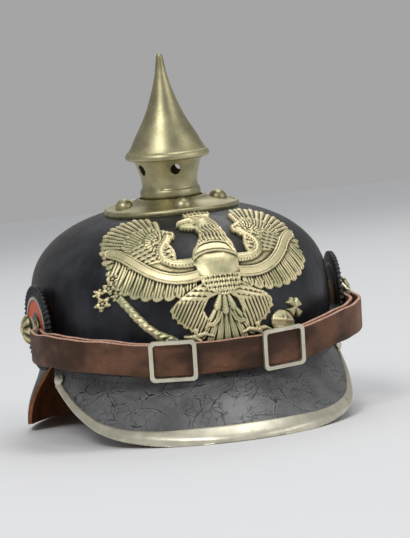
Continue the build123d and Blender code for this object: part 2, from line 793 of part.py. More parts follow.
def ring_profile(points, axis):
    """Solid of revolution about a lug's axis, from (radius, distance from the middle plane) points."""
    with BuildPart() as body:
        with BuildSketch(Plane(axis.origin, axis.x_dir, axis.x_dir.cross(axis.z_dir))):
            with BuildLine():
                Polyline(*points, points[0])
            make_face()
        revolve(axis=Axis(axis.origin, axis.z_dir))
    return body.part


def cockade(lug_plane):
    """Dished disc with a raised inner ring and a ribbed outer ring whose ribs end as teeth."""
    low, high = cockade_seat, cockade_front
    centre = lug_neck_radius + hole_gap
    flat = cockade_ring_radius - cockade_ring_width
    lip = high + cockade_ring_height
    disc_radius = cockade_radius - cockade_tooth_depth
    points = [
        (centre, low + cockade_dish), (centre, high + cockade_dish), (flat, high), (flat, lip),
        (cockade_ring_radius, lip), (cockade_ring_radius, high), (disc_radius, high), (disc_radius, low), (flat, low),
    ]
    rib_start = cockade_ring_radius - cockade_ring_width / 2
    with BuildPart() as body:
        add(ring_profile(points, lug_plane))
        with BuildSketch(lug_plane.offset(low + cockade_thickness / 4)):
            with PolarLocations((rib_start + cockade_radius) / 2, cockade_teeth):
                Rectangle(cockade_radius - rib_start, cockade_tooth_width)
        extrude(amount=cockade_thickness * 3 / 4 + cockade_tooth_height)
    return body.part


def lug(lug_plane):
    """Screw with a rosette head, a neck for the strap fitting, a shoulder and a shank through the skull."""
    nut_end = skull_half_width - skull_wall * 2 - lug_washer_thickness - lug_nut_thickness
    with BuildPart() as body:
        add(shank(lug_plane.offset(head_start), lug_neck_radius, head_start - cockade_seat))
        add(shank(lug_plane.offset(cockade_seat), lug_shank_radius, cockade_seat - nut_end))
        seat = lug_plane.offset(cockade_front + cockade_dish + seat_gap)
        add(disc(seat, lug_shoulder_radius, 0, lug_shoulder_thickness))
        with BuildSketch(lug_plane.offset(head_start)):
            Circle(lug_head_radius)
            with PolarLocations(lug_head_radius + lug_petal_depth / 2, lug_petals):
                Circle(lug_petal_depth, mode=Mode.SUBTRACT)
        extrude(amount=lug_head_thickness / 2)
        with BuildSketch(lug_plane.offset(head_start + lug_head_thickness / 2)):
            Circle(lug_head_radius - lug_petal_depth)
        extrude(amount=lug_head_thickness / 4, taper=45)
        add(domed_head(lug_plane.offset(lug_head_outer - lug_head_thickness / 4), lug_neck_radius, lug_head_thickness / 4))
    return body.part


def fitting(lug_plane):
    """Eye that turns on the screw's neck, with a bar that the end of the strap folds round."""
    side = lug_plane.z_dir.X
    eye = strap_plane.to_local_coords(Vector(0, lug_y, lug_level))
    half = strap_width / 2 + hole_gap
    back = strap_bar_y + fold_outside + hole_gap
    with BuildPart() as body:
        with BuildSketch(fitting_plane(side)):
            with Locations((eye.Y, eye.Z)):
                Circle(fitting_ring_radius)
            with Locations((back + fitting_upright / 2, 0)):
                Rectangle(fitting_upright, 2 * (half + fitting_arm))
            make_hull()
            for up in (-1, 1):
                with Locations(((back + strap_bar_y) / 2, up * (half + fitting_arm / 2))):
                    Rectangle(back - strap_bar_y + 2 * fitting_bar_radius, fitting_arm)
            with Locations((eye.Y, eye.Z)):
                Circle(lug_neck_radius + running_gap, mode=Mode.SUBTRACT)
        extrude(amount=fitting_thickness / 2, both=True)
        with BuildSketch(strap_plane.offset(-half - fitting_arm)):
            with Locations((side * fold_middle, strap_bar_y)):
                Circle(fitting_bar_radius)
        extrude(amount=2 * (half + fitting_arm))
    return body.part


# The strap lies in a plane that rises a little from the front to the lugs
strap_rise = tan(radians(strap_tilt))
strap_plane = Plane(
    origin=(0, 0, strap_front_level + strap_front_reach * strap_rise),
    x_dir=(1, 0, 0),
    z_dir=(0, -sin(radians(strap_tilt)), cos(radians(strap_tilt))),
)
strap_reach = strap_front_reach + strap_end_y
fold_outside = strap_thickness + strap_fold_gap / 2
fold_middle = strap_half_width - fold_outside


def fitting_plane(side):
    """Upright plane through the fold of the strap's end, in the strap's own tilt."""
    return Plane(strap_plane.origin + Vector(side * fold_middle, 0, 0), strap_plane.y_dir, Vector(1, 0, 0))


def half_oval(half_width, reach, mode=Mode.ADD):
    """Front half of an oval round the strap's end line, in the strap's plane."""
    with BuildSketch(mode=Mode.PRIVATE) as oval:
        Ellipse(half_width, reach)
        with Locations((0, reach)):
            Rectangle(4 * half_width, 2 * reach, mode=Mode.SUBTRACT)
    with Locations((0, strap_end_y)):
        add(oval.sketch, mode=mode)


with BuildPart() as chin_strap:
    with BuildSketch(strap_plane.offset(-strap_width / 2)):
        inner_half_width = strap_half_width - strap_thickness - strap_fold_gap
        inner_reach = strap_reach - strap_thickness - strap_front_gap
        half_oval(inner_half_width, inner_reach)
        half_oval(inner_half_width - strap_thickness, inner_reach - strap_thickness, Mode.SUBTRACT)
        with Locations((0, -strap_front_reach)):
            Rectangle(2 * strap_inner_start, strap_reach * 2, mode=Mode.SUBTRACT)
        with BuildSketch(mode=Mode.PRIVATE) as outer_layer:
            half_oval(strap_half_width, strap_reach)
            half_oval(strap_half_width - strap_thickness, strap_reach - strap_thickness, Mode.SUBTRACT)
        add(outer_layer.sketch)
        for side in (-1, 1):
            with BuildSketch(mode=Mode.PRIVATE) as end_fold:
                with Locations((side * fold_middle, strap_bar_y)):
                    Circle(fold_outside)
                with Locations((side * fold_middle, (strap_end_y + strap_bar_y) / 2)):
                    Rectangle(2 * fold_outside, strap_bar_y - strap_end_y)
                with Locations((side * fold_middle, strap_bar_y)):
                    Circle(strap_fold_gap / 2, mode=Mode.SUBTRACT)
                with Locations((side * fold_middle, (strap_end_y + strap_bar_y) / 2 - fold_outside)):
                    Rectangle(strap_fold_gap, strap_bar_y - strap_end_y + 2 * fold_outside, mode=Mode.SUBTRACT)
                with Locations((side * fold_middle, strap_end_y - fold_outside)):
                    Rectangle(2 * strap_half_width, 2 * fold_outside, mode=Mode.SUBTRACT)
            add(end_fold.sketch)
    extrude(amount=strap_width)


def buckle(side):
    """Rectangular frame over the strap, with a middle bar behind it held by two short ears."""
    along = buckle_x / strap_half_width
    y = strap_end_y - strap_reach * sqrt(1 - along**2)
    lean = atan(strap_reach / strap_half_width * along / sqrt(1 - along**2))
    place = strap_plane.from_local_coords(Vector(side * buckle_x, y, 0))
    outward = strap_plane.from_local_coords(Vector(side * sin(lean), -cos(lean), 0)) - strap_plane.origin
    face = Plane(place, strap_plane.z_dir.cross(outward), outward)
    ear = (buckle_height - strap_width) / 2 - hole_gap
    depth = strap_thickness + 2 * buckle_middle_radius + 2 * seat_gap
    with BuildPart() as body:
        with BuildSketch(face.offset(seat_gap)):
            RectangleRounded(buckle_length, buckle_height, buckle_corner)
            RectangleRounded(
                buckle_length - 2 * buckle_bar, buckle_height - 2 * ear,
                buckle_corner - ear / 2, mode=Mode.SUBTRACT,
            )
        extrude(amount=buckle_thickness)
        with BuildSketch(face.offset(seat_gap - depth)):
            with Locations(*[(0, up * (buckle_height - ear) / 2) for up in (-1, 1)]):
                Rectangle(4 * buckle_middle_radius, ear)
        extrude(amount=depth)
        bar_plane = Plane(face.origin - outward * (depth - buckle_middle_radius - seat_gap), face.x_dir, face.y_dir)
        with BuildSketch(bar_plane):
            Circle(buckle_middle_radius)
        extrude(amount=buckle_height / 2 - ear / 2, both=True)
    return body.part


with BuildPart() as strap_buckle_right:
    add(buckle(-1))
with BuildPart() as strap_buckle_left:
    add(buckle(1))
with BuildPart() as strap_fitting_right:
    add(fitting(lugs_at[0]))
with BuildPart() as strap_fitting_left:
    add(fitting(lugs_at[1]))
with BuildPart() as cockade_right:
    add(cockade(lugs_at[0]))
with BuildPart() as cockade_left:
    add(cockade(lugs_at[1]))
with BuildPart() as lug_right:
    add(lug(lugs_at[0]))
with BuildPart() as lug_left:
    add(lug(lugs_at[1]))

with BuildPart() as lug_pads:
    for lug_plane in lugs_at:
        pad_start = skull_half_width - skull_wall
        add(disc(lug_plane.offset(pad_start), lug_washer_radius, lug_shank_radius + hole_gap, cockade_seat - pad_start))
    add(dome(seat_gap), mode=Mode.SUBTRACT)

lug_inside = skull_half_width * sqrt(1 - ((abs(lug_y) + lug_washer_radius) / skull_half_length) ** 2)
lug_washer_seat = lug_inside - skull_wall - 2 * seat_gap
with BuildPart() as lug_washers:
    for lug_plane in lugs_at:
        seat = lug_plane.offset(lug_washer_seat - lug_washer_thickness)
        add(disc(seat, lug_washer_radius, lug_shank_radius + hole_gap, lug_washer_thickness))

with BuildPart() as lug_nuts:
    for lug_plane in lugs_at:
        with BuildSketch(lug_plane.offset(lug_washer_seat - lug_washer_thickness - lug_nut_thickness - seat_gap)):
            RegularPolygon(lug_nut_radius, 6)
            Circle(lug_shank_radius + seat_gap, mode=Mode.SUBTRACT)
        extrude(amount=lug_nut_thickness)


# Eagle plate: layers of feathers, body and regalia, all pressed to the shape of the dome
eagle_plane = Plane(
    origin=(0, eagle_centre_y, eagle_centre_level),
    x_dir=(1, 0, 0),
    z_dir=(0, -cos(radians(eagle_lean)), sin(radians(eagle_lean))),
)


def eagle_place(share, side=1):
    """Place on the eagle's plane from shares of its half span and its height."""
    return Vector(side * share[0] * eagle_half_span, share[1] * eagle_height)


def feather(root, tip, width):
    """Long oval feather between two places in the current sketch."""
    along = tip - root
    with Locations(Location((root + tip) / 2, (0, 0, degrees(atan2(along.Y, along.X))))):
        Ellipse(along.length / 2, width / 2)


def stroke(places, width):
    """Band with round ends along a row of places in the current sketch."""
    for start, end in zip(places, places[1:]):
        along = end - start
        with Locations(Location((start + end) / 2, (0, 0, degrees(atan2(along.Y, along.X))))):
            SlotCenterToCenter(along.length, width)


def oval_at(share, size_share, side=1):
    """Oval in the current sketch, placed and sized by shares."""
    place = eagle_place(share, side)
    with Locations((place.X, place.Y)):
        Ellipse(size_share[0] * eagle_half_span, size_share[1] * eagle_height)


def outline(shares, side=1):
    """Filled outline in the current sketch."""
    Polygon(*[tuple(eagle_place(share, side))[:2] for share in shares], align=None)


def wing_row(side, root_share, tip_share, width):
    """Row of feathers that fan out from the middle of a wing."""
    centre = eagle_place(wing_centre_share, side)
    for share in wing_tip_shares:
        reach = eagle_place(share, side) - centre
        feather(centre + reach * root_share, centre + reach * tip_share, width)


def pressed(sketch, relief):
    """Sketch on the eagle's plane, as a layer that follows the dome with one relief."""
    placed = eagle_plane.offset(-eagle_depth_behind) * sketch
    return extrude(placed, eagle_depth_behind + eagle_depth_ahead) & dome(eagle_gap + relief)


with BuildSketch() as eagle_low:
    for side in (-1, 1):
        wing_row(side, wing_root_share, 1, wing_feather_width)
        oval_at(wing_fill_share, wing_fill_size_share, side)
        outline(shoulder_shares, side)
    oval_at(chest_share, belly_size_share)
    stroke([eagle_place(share) for share in sceptre_shares], sceptre_width)
    oval_at(sceptre_head_share, sceptre_head_size_share)
    stroke([eagle_place(share) for share in orb_cross_shares], cross_width)
    stroke([eagle_place(share) for share in orb_bar_shares], cross_width)
    for share in tail_tip_shares:
        feather(eagle_place(tail_root_share), eagle_place(share), tail_feather_width)

with BuildSketch() as eagle_coverts:
    for side in (-1, 1):
        wing_row(side, covert_root_share, covert_tip_share, wing_covert_width)
        oval_at(wing_centre_share, covert_fill_size_share, side)

with BuildSketch() as eagle_middle:
    for side in (-1, 1):
        wing_row(side, scale_root_share, scale_tip_share, wing_covert_width)
        stroke([eagle_place(share, side) for share in ribbon_shares], ribbon_width)
    outline(thigh_right_shares)
    outline(thigh_left_shares)
    stroke([eagle_place(share) for share in claw_right_shares], claw_width)
    stroke([eagle_place(share) for share in claw_left_shares], claw_width)
    oval_at(orb_share, orb_size_share)

with BuildSketch() as eagle_body:
    oval_at(chest_share, chest_size_share)
    outline(neck_shares)
    oval_at(head_share, head_size_share)
    outline(beak_shares)
    outline(crown_shares)

# The layers overlap in ways that only join as whole bodies, so they're joined outside a builder
eagle_layers = pressed(eagle_low.sketch, eagle_sheet) + pressed(eagle_coverts.sketch, eagle_low_relief)
eagle_layers += pressed(eagle_middle.sketch, eagle_mid_relief)
eagle_layers += pressed(eagle_body.sketch, eagle_high_relief)
with BuildPart() as eagle_plate:
    add(eagle_layers - dome(eagle_gap))

with BuildPart() as plate_loops:
    for point in loops_at:
        with BuildSketch(skull_plane(point, 0).offset(-loop_reach)):
            Rectangle(loop_width, loop_thickness)
        extrude(amount=loop_reach + eagle_gap - seat_gap)
        eye_plane = skull_plane(point, -loop_eye_depth)
        with BuildSketch(Plane(eye_plane.origin, eye_plane.x_dir, eye_plane.y_dir)):
            Rectangle(loop_eye_width, loop_eye_height)
        extrude(amount=loop_thickness, both=True, mode=Mode.SUBTRACT)

with BuildPart() as plate_wedges:
    for point in loops_at:
        with BuildSketch(skull_plane(point, -loop_eye_depth - wedge_thickness / 2)):
            Rectangle(wedge_width, wedge_length)
        extrude(amount=wedge_thickness)

# Liner: a band sewn to the visors' upstand, which goes over into fingers
liner_half_width = upstand_half_width - upstand_thickness - seat_gap
liner_half_length = upstand_half_length - upstand_thickness - seat_gap


def liner_body(offset, extra):
    """Solid whose side is the liner's outer face moved inward, made longer at both ends."""
    band_top = brim_level + upstand_height
    sections = [(liner_half_width - offset, liner_half_length - offset, brim_level - extra)]
    sections.append((liner_half_width - offset, liner_half_length - offset, band_top))
    for level_share in liner_section_shares:
        level = band_top + level_share * (liner_top_level + extra - band_top)
        width_share = sqrt(1 - ((level - band_top) / liner_rise) ** liner_draw_in_power)
        sections.append((liner_half_width * width_share - offset, liner_half_length * width_share - offset, level))
    return oval_loft(sections)


with BuildPart() as liner:
    add(liner_body(0, 0))
    add(oval_prism(liner_half_width, liner_half_length, 0, liner_top_level + overrun), mode=Mode.INTERSECT)
    add(liner_body(liner_thickness, seat_gap), mode=Mode.SUBTRACT)
    with BuildSketch(Plane.XY.offset(liner_slot_level)):
        for index in range(liner_fingers // 2):
            with Locations(Location((0, 0, 0), (0, 0, 360 / liner_fingers * (index + 1 / 2)))):
                Rectangle(4 * skull_half_length, liner_slot_width)
    extrude(amount=liner_top_level, mode=Mode.SUBTRACT)
    with BuildSketch(Plane.XY.offset(liner_slot_level)):
        for index in range(liner_fingers):
            angle = radians(360 / liner_fingers * index)
            reach = (liner_half_width * cos(angle) * liner_tip_share, liner_half_length * sin(angle) * liner_tip_share)
            with Locations(reach):
                Circle(liner_hole_radius)
    extrude(amount=liner_top_level, mode=Mode.SUBTRACT)

# Placement: both visors' edges on the table, the middle of the footprint at the origin
lean = degrees(atan(-rest_slope))
pieces = {
    "shell": shell,
    "front_visor": front_visor,
    "rear_visor": rear_visor,
    "visor_trim": visor_trim,
    "visor_trim_studs": visor_trim_studs,
    "base_plate": base_plate,
    "base_studs": base_studs,
    "base_washers": base_washers,
    "rear_spine": rear_spine,
    "rear_spine_studs": rear_spine_studs,
    "spike_cone": spike_cone,
    "spike_neck": spike_neck,
    "bayonet_pins": bayonet_pins,
    "eagle_plate": eagle_plate,
    "plate_loops": plate_loops,
    "plate_wedges": plate_wedges,
    "cockade_right": cockade_right,
    "cockade_left": cockade_left,
    "lug_right": lug_right,
    "lug_left": lug_left,
    "lug_pads": lug_pads,
    "lug_washers": lug_washers,
    "lug_nuts": lug_nuts,
    "chin_strap": chin_strap,
    "strap_buckle_right": strap_buckle_right,
    "strap_buckle_left": strap_buckle_left,
    "strap_fitting_right": strap_fitting_right,
    "strap_fitting_left": strap_fitting_left,
    "liner": liner,
}
level_up = Location((0, 0, 0), (lean, 0, 0))
outermost = Compound(children=[level_up * piece.part for piece in (visor_trim, rear_visor, rear_spine)])
bounds = outermost.bounding_box()
to_origin = Location((0, -bounds.center().Y, -bounds.min.Z)) * level_up

os.makedirs("parts", exist_ok=True)
for node, piece in pieces.items():
    piece.part = to_origin * piece.part
    piece.part.label = node
    export_step(piece.part, f"parts/{node}.step")

lug_axis = to_origin * Location((0, lug_y, lug_level))
spike_low = to_origin * Location((0, 0, slot_level))
spike_high = to_origin * Location((0, 0, cone_rim_level))
print("strap swings about X through", tuple(lug_axis.position))
print("spike turns about", tuple(spike_low.position), (spike_high.position - spike_low.position).normalized())
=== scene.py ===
"""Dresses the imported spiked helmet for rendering: pieces, finishes, light and camera.

Sizes are in millimetres of the helmet's upright drawing, in which the spike's axis is the Z axis and
the front faces -Y. `placed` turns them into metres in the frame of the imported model.
"""

import math

import bmesh
import bpy
import numpy as np
from mathutils import Matrix, Vector


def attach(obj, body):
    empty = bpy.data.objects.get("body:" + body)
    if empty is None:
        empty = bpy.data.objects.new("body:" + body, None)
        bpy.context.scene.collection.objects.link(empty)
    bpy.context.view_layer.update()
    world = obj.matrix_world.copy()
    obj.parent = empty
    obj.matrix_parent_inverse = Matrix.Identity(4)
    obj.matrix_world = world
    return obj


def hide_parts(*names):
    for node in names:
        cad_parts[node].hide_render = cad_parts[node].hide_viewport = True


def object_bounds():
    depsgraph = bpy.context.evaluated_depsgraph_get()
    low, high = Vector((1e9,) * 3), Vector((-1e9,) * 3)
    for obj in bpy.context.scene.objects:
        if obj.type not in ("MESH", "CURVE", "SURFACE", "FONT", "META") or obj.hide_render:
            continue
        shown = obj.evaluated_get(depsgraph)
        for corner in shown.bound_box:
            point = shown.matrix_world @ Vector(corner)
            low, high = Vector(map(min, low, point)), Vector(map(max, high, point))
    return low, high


bl_info = {
    "name": "Spiked helmet dressing",
    "version": (1, 0, 0),
    "blender": (4, 5, 0),
    "location": "View3D > Sidebar > Helmet",
    "description": "Builds the visible pieces and finishes of a leather spiked helmet",
    "category": "Object",
}

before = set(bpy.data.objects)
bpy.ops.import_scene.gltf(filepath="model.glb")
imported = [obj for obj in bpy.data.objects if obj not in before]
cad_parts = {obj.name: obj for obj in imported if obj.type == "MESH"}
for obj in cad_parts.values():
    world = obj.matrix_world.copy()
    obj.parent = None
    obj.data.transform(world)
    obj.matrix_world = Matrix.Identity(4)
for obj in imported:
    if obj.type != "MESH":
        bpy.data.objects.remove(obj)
CAD_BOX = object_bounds()

MM = 0.001
TURN = 2 * math.pi

# The upright drawing leans back by this much when the helmet stands on both visors
LEAN = math.atan(0.0970509)
STAND_SHIFT = np.array([0.0, 5.6538, 15.8390])

# Skull, as in the drawing
SKULL_HALF_WIDTH = 93.0
SKULL_HALF_LENGTH = 112.7
WIDEST_LEVEL = 61.4
DOME_RISE = 59.6
DOME_LEVEL_POWER = 2.61
DOME_WIDTH_POWER = 2.3
BRIM_LEVEL = 31.4
BRIM_DRAW_IN = 1.7

# Cone of the front visor's upper side: its level and half sizes at the brim, and its growth per level
VISOR_TOP_LEVEL = 31.4
VISOR_TOP_HALF = (91.3, 110.64)
VISOR_SLOPE = (0.42357, 1.4127)
VISOR_THICKNESS = 2.6

# Camera of the photograph, in the upright drawing
VIEW_YAW = math.radians(13.77)
VIEW_PITCH = math.radians(8.35)
VIEW_ROLL = math.radians(4.67)
VIEW_DISTANCE = 1434.26
VIEW_RIGHT_SHIFT = 17.73
VIEW_LEVEL = 77.64
FOCAL_PIXELS = 2266.81
IMAGE_WIDTH_PIXELS = 410
SENSOR_WIDTH = 36.0


def grid_of(x, y, z):
    """Points from their three coordinates, each spread over the shape that they make together."""
    return np.stack(np.broadcast_arrays(x, y, z), axis=-1)


def leaned(points):
    """Points or directions of the upright drawing, leaning back as the helmet stands."""
    x, y, z = np.moveaxis(np.asarray(points, dtype=float), -1, 0)
    c, s = math.cos(LEAN), math.sin(LEAN)
    return grid_of(x, y * c - z * s, y * s + z * c)


def placed(points):
    """Points of the upright drawing, in metres in the model's frame."""
    return (leaned(points) + STAND_SHIFT) * MM


def on_oval(half_x, half_y, turn, level):
    """Points on ovals round the spike's axis, where a turn of 0 is in front."""
    return grid_of(half_x * np.sin(turn), -half_y * np.cos(turn), level)


def full_turn(count):
    """Evenly spaced angles round a full turn."""
    return np.linspace(0, TURN, count, endpoint=False)


def tint(name, description, default):
    """Colour property of the dressing."""
    return bpy.props.FloatVectorProperty(
        name=name, description=description, subtype="COLOR", size=3, min=0.0, max=1.0, default=default
    )


def distance(name, description, default):
    """Length property of the dressing, in metres."""
    return bpy.props.FloatProperty(
        name=name, description=description, subtype="DISTANCE", unit="LENGTH", min=0.0, default=default
    )


class HelmetLook(bpy.types.PropertyGroup):
    """Sizes and colours that can be changed before the helmet is dressed."""

    lacquer: tint("Lacquer", "Black lacquer of the skull and the rear visor", (0.0105, 0.011, 0.013))
    visor: tint("Visor", "Dull charcoal of the front visor", (0.118, 0.119, 0.120))
    lining: tint("Lining", "Bare leather on the visors' inner sides", (0.36, 0.145, 0.06))
    strap: tint("Strap", "Chestnut leather of the chin strap", (0.108, 0.050, 0.028))
    liner: tint("Liner", "Tan leather of the liner", (0.36, 0.22, 0.12))
    nickel: tint("Nickel silver", "Metal of the spike and the base plate", (0.50, 0.46, 0.275))
    steel: tint("Plated steel", "Metal of the visor trim and the buckles", (0.71, 0.675, 0.54))
    brass: tint("Brass", "Metal of the eagle where it is rubbed bright", (0.74, 0.655, 0.405))
    ring_red: tint("Ring red", "Painted ring of the right cockade", (0.50, 0.085, 0.035))
    relief_step: distance("Relief spacing", "Spacing of the points that the eagle is pressed with", 0.00036)
    strap_rise: distance("Strap rise", "How much the strap rises between its buckles and its ends", 0.0026)
    stitch_pitch: distance("Stitch pitch", "Spacing of the stitches along the front visor", 0.0036)
    finger_sag: distance("Finger sag", "How far the liner's fingers hang inward", 0.004)
    key_power: bpy.props.FloatProperty(
        name="Key lamp", description="Power of the main lamp", unit="POWER", min=0.0, default=48.0
    )


class Wire:
    """A shader socket; arithmetic on it adds Math nodes."""

    def __init__(self, shader, socket):
        self.shader = shader
        self.socket = socket

    def worked(self, operation, first, second, clamp=False):
        """Result of a Math node on two values."""
        settings = {"operation": operation, "use_clamp": clamp}
        return self.shader.node("ShaderNodeMath", settings, {0: first, 1: second})

    def __add__(self, other):
        return self.worked("ADD", self, other)

    __radd__ = __add__

    def __sub__(self, other):
        return self.worked("SUBTRACT", self, other)

    def __rsub__(self, other):
        return self.worked("SUBTRACT", other, self)

    def __mul__(self, other):
        return self.worked("MULTIPLY", self, other)

    __rmul__ = __mul__

    def clamped(self):
        """Value kept between 0 and 1."""
        return self.worked("ADD", self, 0.0, clamp=True)

    def ramp(self, low, high):
        """0 below `low`, 1 above `high`, smooth between."""
        values = {"Value": self, "From Min": low, "From Max": high}
        return self.shader.node("ShaderNodeMapRange", {"interpolation_type": "SMOOTHSTEP"}, values)


class Shader:
    """Node tree of one material or world."""

    def __init__(self, owner):
        owner.use_nodes = True
        self.tree = owner.node_tree
        self.tree.nodes.clear()

    def node(self, kind, settings=None, inputs=None, output=0):
        """Adds a node, sets it up, feeds its sockets and returns one of its outputs."""
        added = self.tree.nodes.new(kind)
        for key, value in (settings or {}).items():
            setattr(added, key, value)
        for key, value in (inputs or {}).items():
            socket = added.inputs[key]
            if isinstance(value, Wire):
                self.tree.links.new(value.socket, socket)
            else:
                socket.default_value = value
        return Wire(self, added.outputs[output])

    def vector(self, operation, first, second, output=0):
        """Result of a Vector Math node on two vectors."""
        return self.node("ShaderNodeVectorMath", {"operation": operation}, {0: first, 1: second}, output)

    def place(self, stretch=(1.0, 1.0, 1.0), source="Object"):
        """Position on the surface, or another of its coordinates, stretched along its axes."""
        return self.vector("MULTIPLY", self.node("ShaderNodeTexCoord", output=source), stretch)

    def written(self, name):
        """Number that the mesh holds at each point under a name."""
        return self.node("ShaderNodeAttribute", {"attribute_name": name}, output="Fac")

    def noise(self, grain, place=None, detail=4.0, roughness=0.55):
        """Noise whose blotches are about `grain` millimetres across."""
        values = {"Scale": 1 / (grain * MM), "Detail": detail, "Roughness": roughness}
        values["Vector"] = place or self.place()
        return self.node("ShaderNodeTexNoise", {}, values)

    def cells(self, grain, place=None, feature="DISTANCE_TO_EDGE"):
        """Cell pattern about `grain` millimetres across."""
        values = {"Scale": 1 / (grain * MM), "Vector": place or self.place()}
        return self.node("ShaderNodeTexVoronoi", {"feature": feature}, values)

    def mix(self, factor, first, second):
        """Colour between two colours, which a Mix node takes at 6 and 7 and gives back at 2."""
        return self.node("ShaderNodeMix", {"data_type": "RGBA"}, {0: factor, 6: first, 7: second}, output=2)

    def bump(self, height, depth, strength):
        """Normal from a height of `depth` millimetres."""
        values = {"Height": height, "Distance": depth * MM, "Strength": strength}
        return self.node("ShaderNodeBump", {}, values)

    def end(self, kind, surface):
        """Ends the tree in an output node of a kind."""
        out = self.tree.nodes.new(kind)
        self.tree.links.new(surface.socket, out.inputs["Surface"])

    def finish(self, **values):
        """Ends the tree in a Principled surface, whose sockets are given by their names in small letters."""
        names = {key.replace("_", " ").title().replace("Ior", "IOR"): value for key, value in values.items()}
        self.end("ShaderNodeOutputMaterial", self.node("ShaderNodeBsdfPrincipled", {}, names))


def colour(red, green, blue):
    """Colour with full cover."""
    return (red, green, blue, 1.0)


def grey(level):
    """Plain grey with full cover."""
    return colour(level, level, level)


def scaled(tone, factor):
    """A settings colour made lighter or darker, with full cover."""
    return colour(*(min(1.0, part * factor) for part in tone))


# Point that every outward-facing side of the leather shells looks away from, in metres
INSIDE_POINT = (0.0, 0.0, -0.1)


def inner_side(s):
    """1 on sides that face inward, 0 on sides that face outward."""
    reach = s.vector("SUBTRACT", s.place(), INSIDE_POINT)
    away = s.vector("DOT_PRODUCT", reach, s.place(source="Normal"), output=1)
    return 1 - away.ramp(-0.045, -0.02)


# Colours that the finishes mix in beside those of the settings
DUST_AND_SHEEN_HAZE = (0.048, 0.054, 0.068)
RUBBED_CHESTNUT = (0.24, 0.105, 0.05)
BARE_EDGE_DARK = (0.30, 0.15, 0.10)
BARE_EDGE_PALE = (0.52, 0.32, 0.23)
BRASS_PATINA = (0.34, 0.38, 0.21)
BRASS_SHADE = (0.23, 0.20, 0.09)
BRASS_GRIME_AND_SHADE = (0.03, 0.028, 0.014)


def lining(s, look):
    """Colour and height of bare leather on an inner side."""
    blotch = s.noise(14, detail=5)
    fibre = s.noise(2.5, detail=8, roughness=0.7)
    worn = (blotch * 0.6 + fibre * 0.4).ramp(0.35, 0.68)
    return s.mix(worn, scaled(look.lining, 0.55), scaled(look.lining, 1.2)), fibre


def black_lacquer(s, look):
    """Black lacquered leather, with faint grain, wiped streaks, rubbed spots and a haze of dust and painted
    sheen; bare inside.
    """
    streaks = s.noise(9, s.place((1.6, 1.6, 0.28)), detail=6, roughness=0.62)
    clouds = s.noise(38, detail=3)
    rubbed = s.noise(5.5, s.place((1.2, 1.2, 0.6)), detail=7, roughness=0.7)
    pores = s.cells(0.9, feature="F1")
    wear = (streaks * 0.6 + clouds * 0.4).ramp(0.42, 0.72)
    back = s.node("ShaderNodeSeparateXYZ", {}, {0: s.place()}, output=1)
    # Bluish haze, stronger towards the front: partly dust, partly a painted sheen
    haze = (s.noise(42, detail=5) - back * 1.2).ramp(0.56, 0.8)
    base = s.mix(wear, scaled(look.lacquer, 0.5), scaled(look.lacquer, 1.5))
    base = s.mix(haze * 0.4, base, colour(*DUST_AND_SHEEN_HAZE))
    base = s.mix(rubbed.ramp(0.66, 0.8) * 0.5, base, scaled(look.lacquer, 6.0))
    rough = 0.36 + wear * 0.2 + rubbed.ramp(0.6, 0.8) * 0.15
    bare, fibre = lining(s, look)
    inside = inner_side(s)
    height = pores * 0.25 + streaks * 0.8 + clouds * 1.4 + fibre * inside
    s.finish(
        base_color=s.mix(inside, base, bare), roughness=rough + inside * 0.3,
        normal=s.bump(height, 0.16, 0.5), specular_ior_level=0.24,
    )


def crackled_leather(s, look):
    """Charcoal visor leather whose lacquer has aged into a net of fine cracks; bare underneath."""
    bend = s.node("ShaderNodeTexNoise", {}, {"Vector": s.place(), "Scale": 90.0, "Detail": 3.0}, output=1)
    shift = s.node("ShaderNodeVectorMath", {"operation": "SCALE"}, {0: bend, "Scale": 0.010})
    spot = s.vector("ADD", s.place((1.0, 1.0, 1.25)), shift)
    wide = s.cells(15, spot)
    fine = s.cells(5.5, spot)
    present = s.noise(24, detail=2).ramp(0.38, 0.50)
    where = s.noise(30, s.place((1.0, 1.0, 1.3)), detail=2).ramp(0.42, 0.56)
    cracks = (1 - wide.ramp(0.004, 0.026)) * present
    hair = (1 - fine.ramp(0.006, 0.05)) * where
    dust = s.noise(3.2, s.place((1.5, 1.5, 0.8)), detail=8, roughness=0.7)
    clouds = s.noise(26, detail=4)
    worn = (dust * 0.35 + clouds * 0.65).ramp(0.34, 0.64)
    base = s.mix(worn, scaled(look.visor, 0.5), scaled(look.visor, 1.0))
    lips = wide.ramp(0.012, 0.035) * (1 - wide.ramp(0.035, 0.075)) * present
    base = s.mix(lips * 0.25, base, scaled(look.visor, 1.4))
    base = s.mix((cracks + hair * 0.75).clamped(), base, scaled(look.lacquer, 0.8))
    bare, fibre = lining(s, look)
    inside = inner_side(s)
    height = dust * 0.25 - cracks * 0.8 - hair * 0.4 + lips * 0.35
    s.finish(
        base_color=s.mix(inside, base, bare), roughness=0.29 + dust * 0.12, specular_ior_level=0.7,
        normal=s.bump(height * (1 - inside) + fibre * inside, 0.4, 0.55),
    )


def tan_leather(s, look):
    """Undyed tan leather of the washers, the wedges and the pads."""
    fibre = s.noise(2.5, detail=8, roughness=0.7)
    base = s.mix(fibre.ramp(0.35, 0.68), scaled(look.liner, 0.6), scaled(look.liner, 1.0))
    s.finish(base_color=base, roughness=0.62 + fibre * 0.2, normal=s.bump(fibre, 0.25, 0.5))


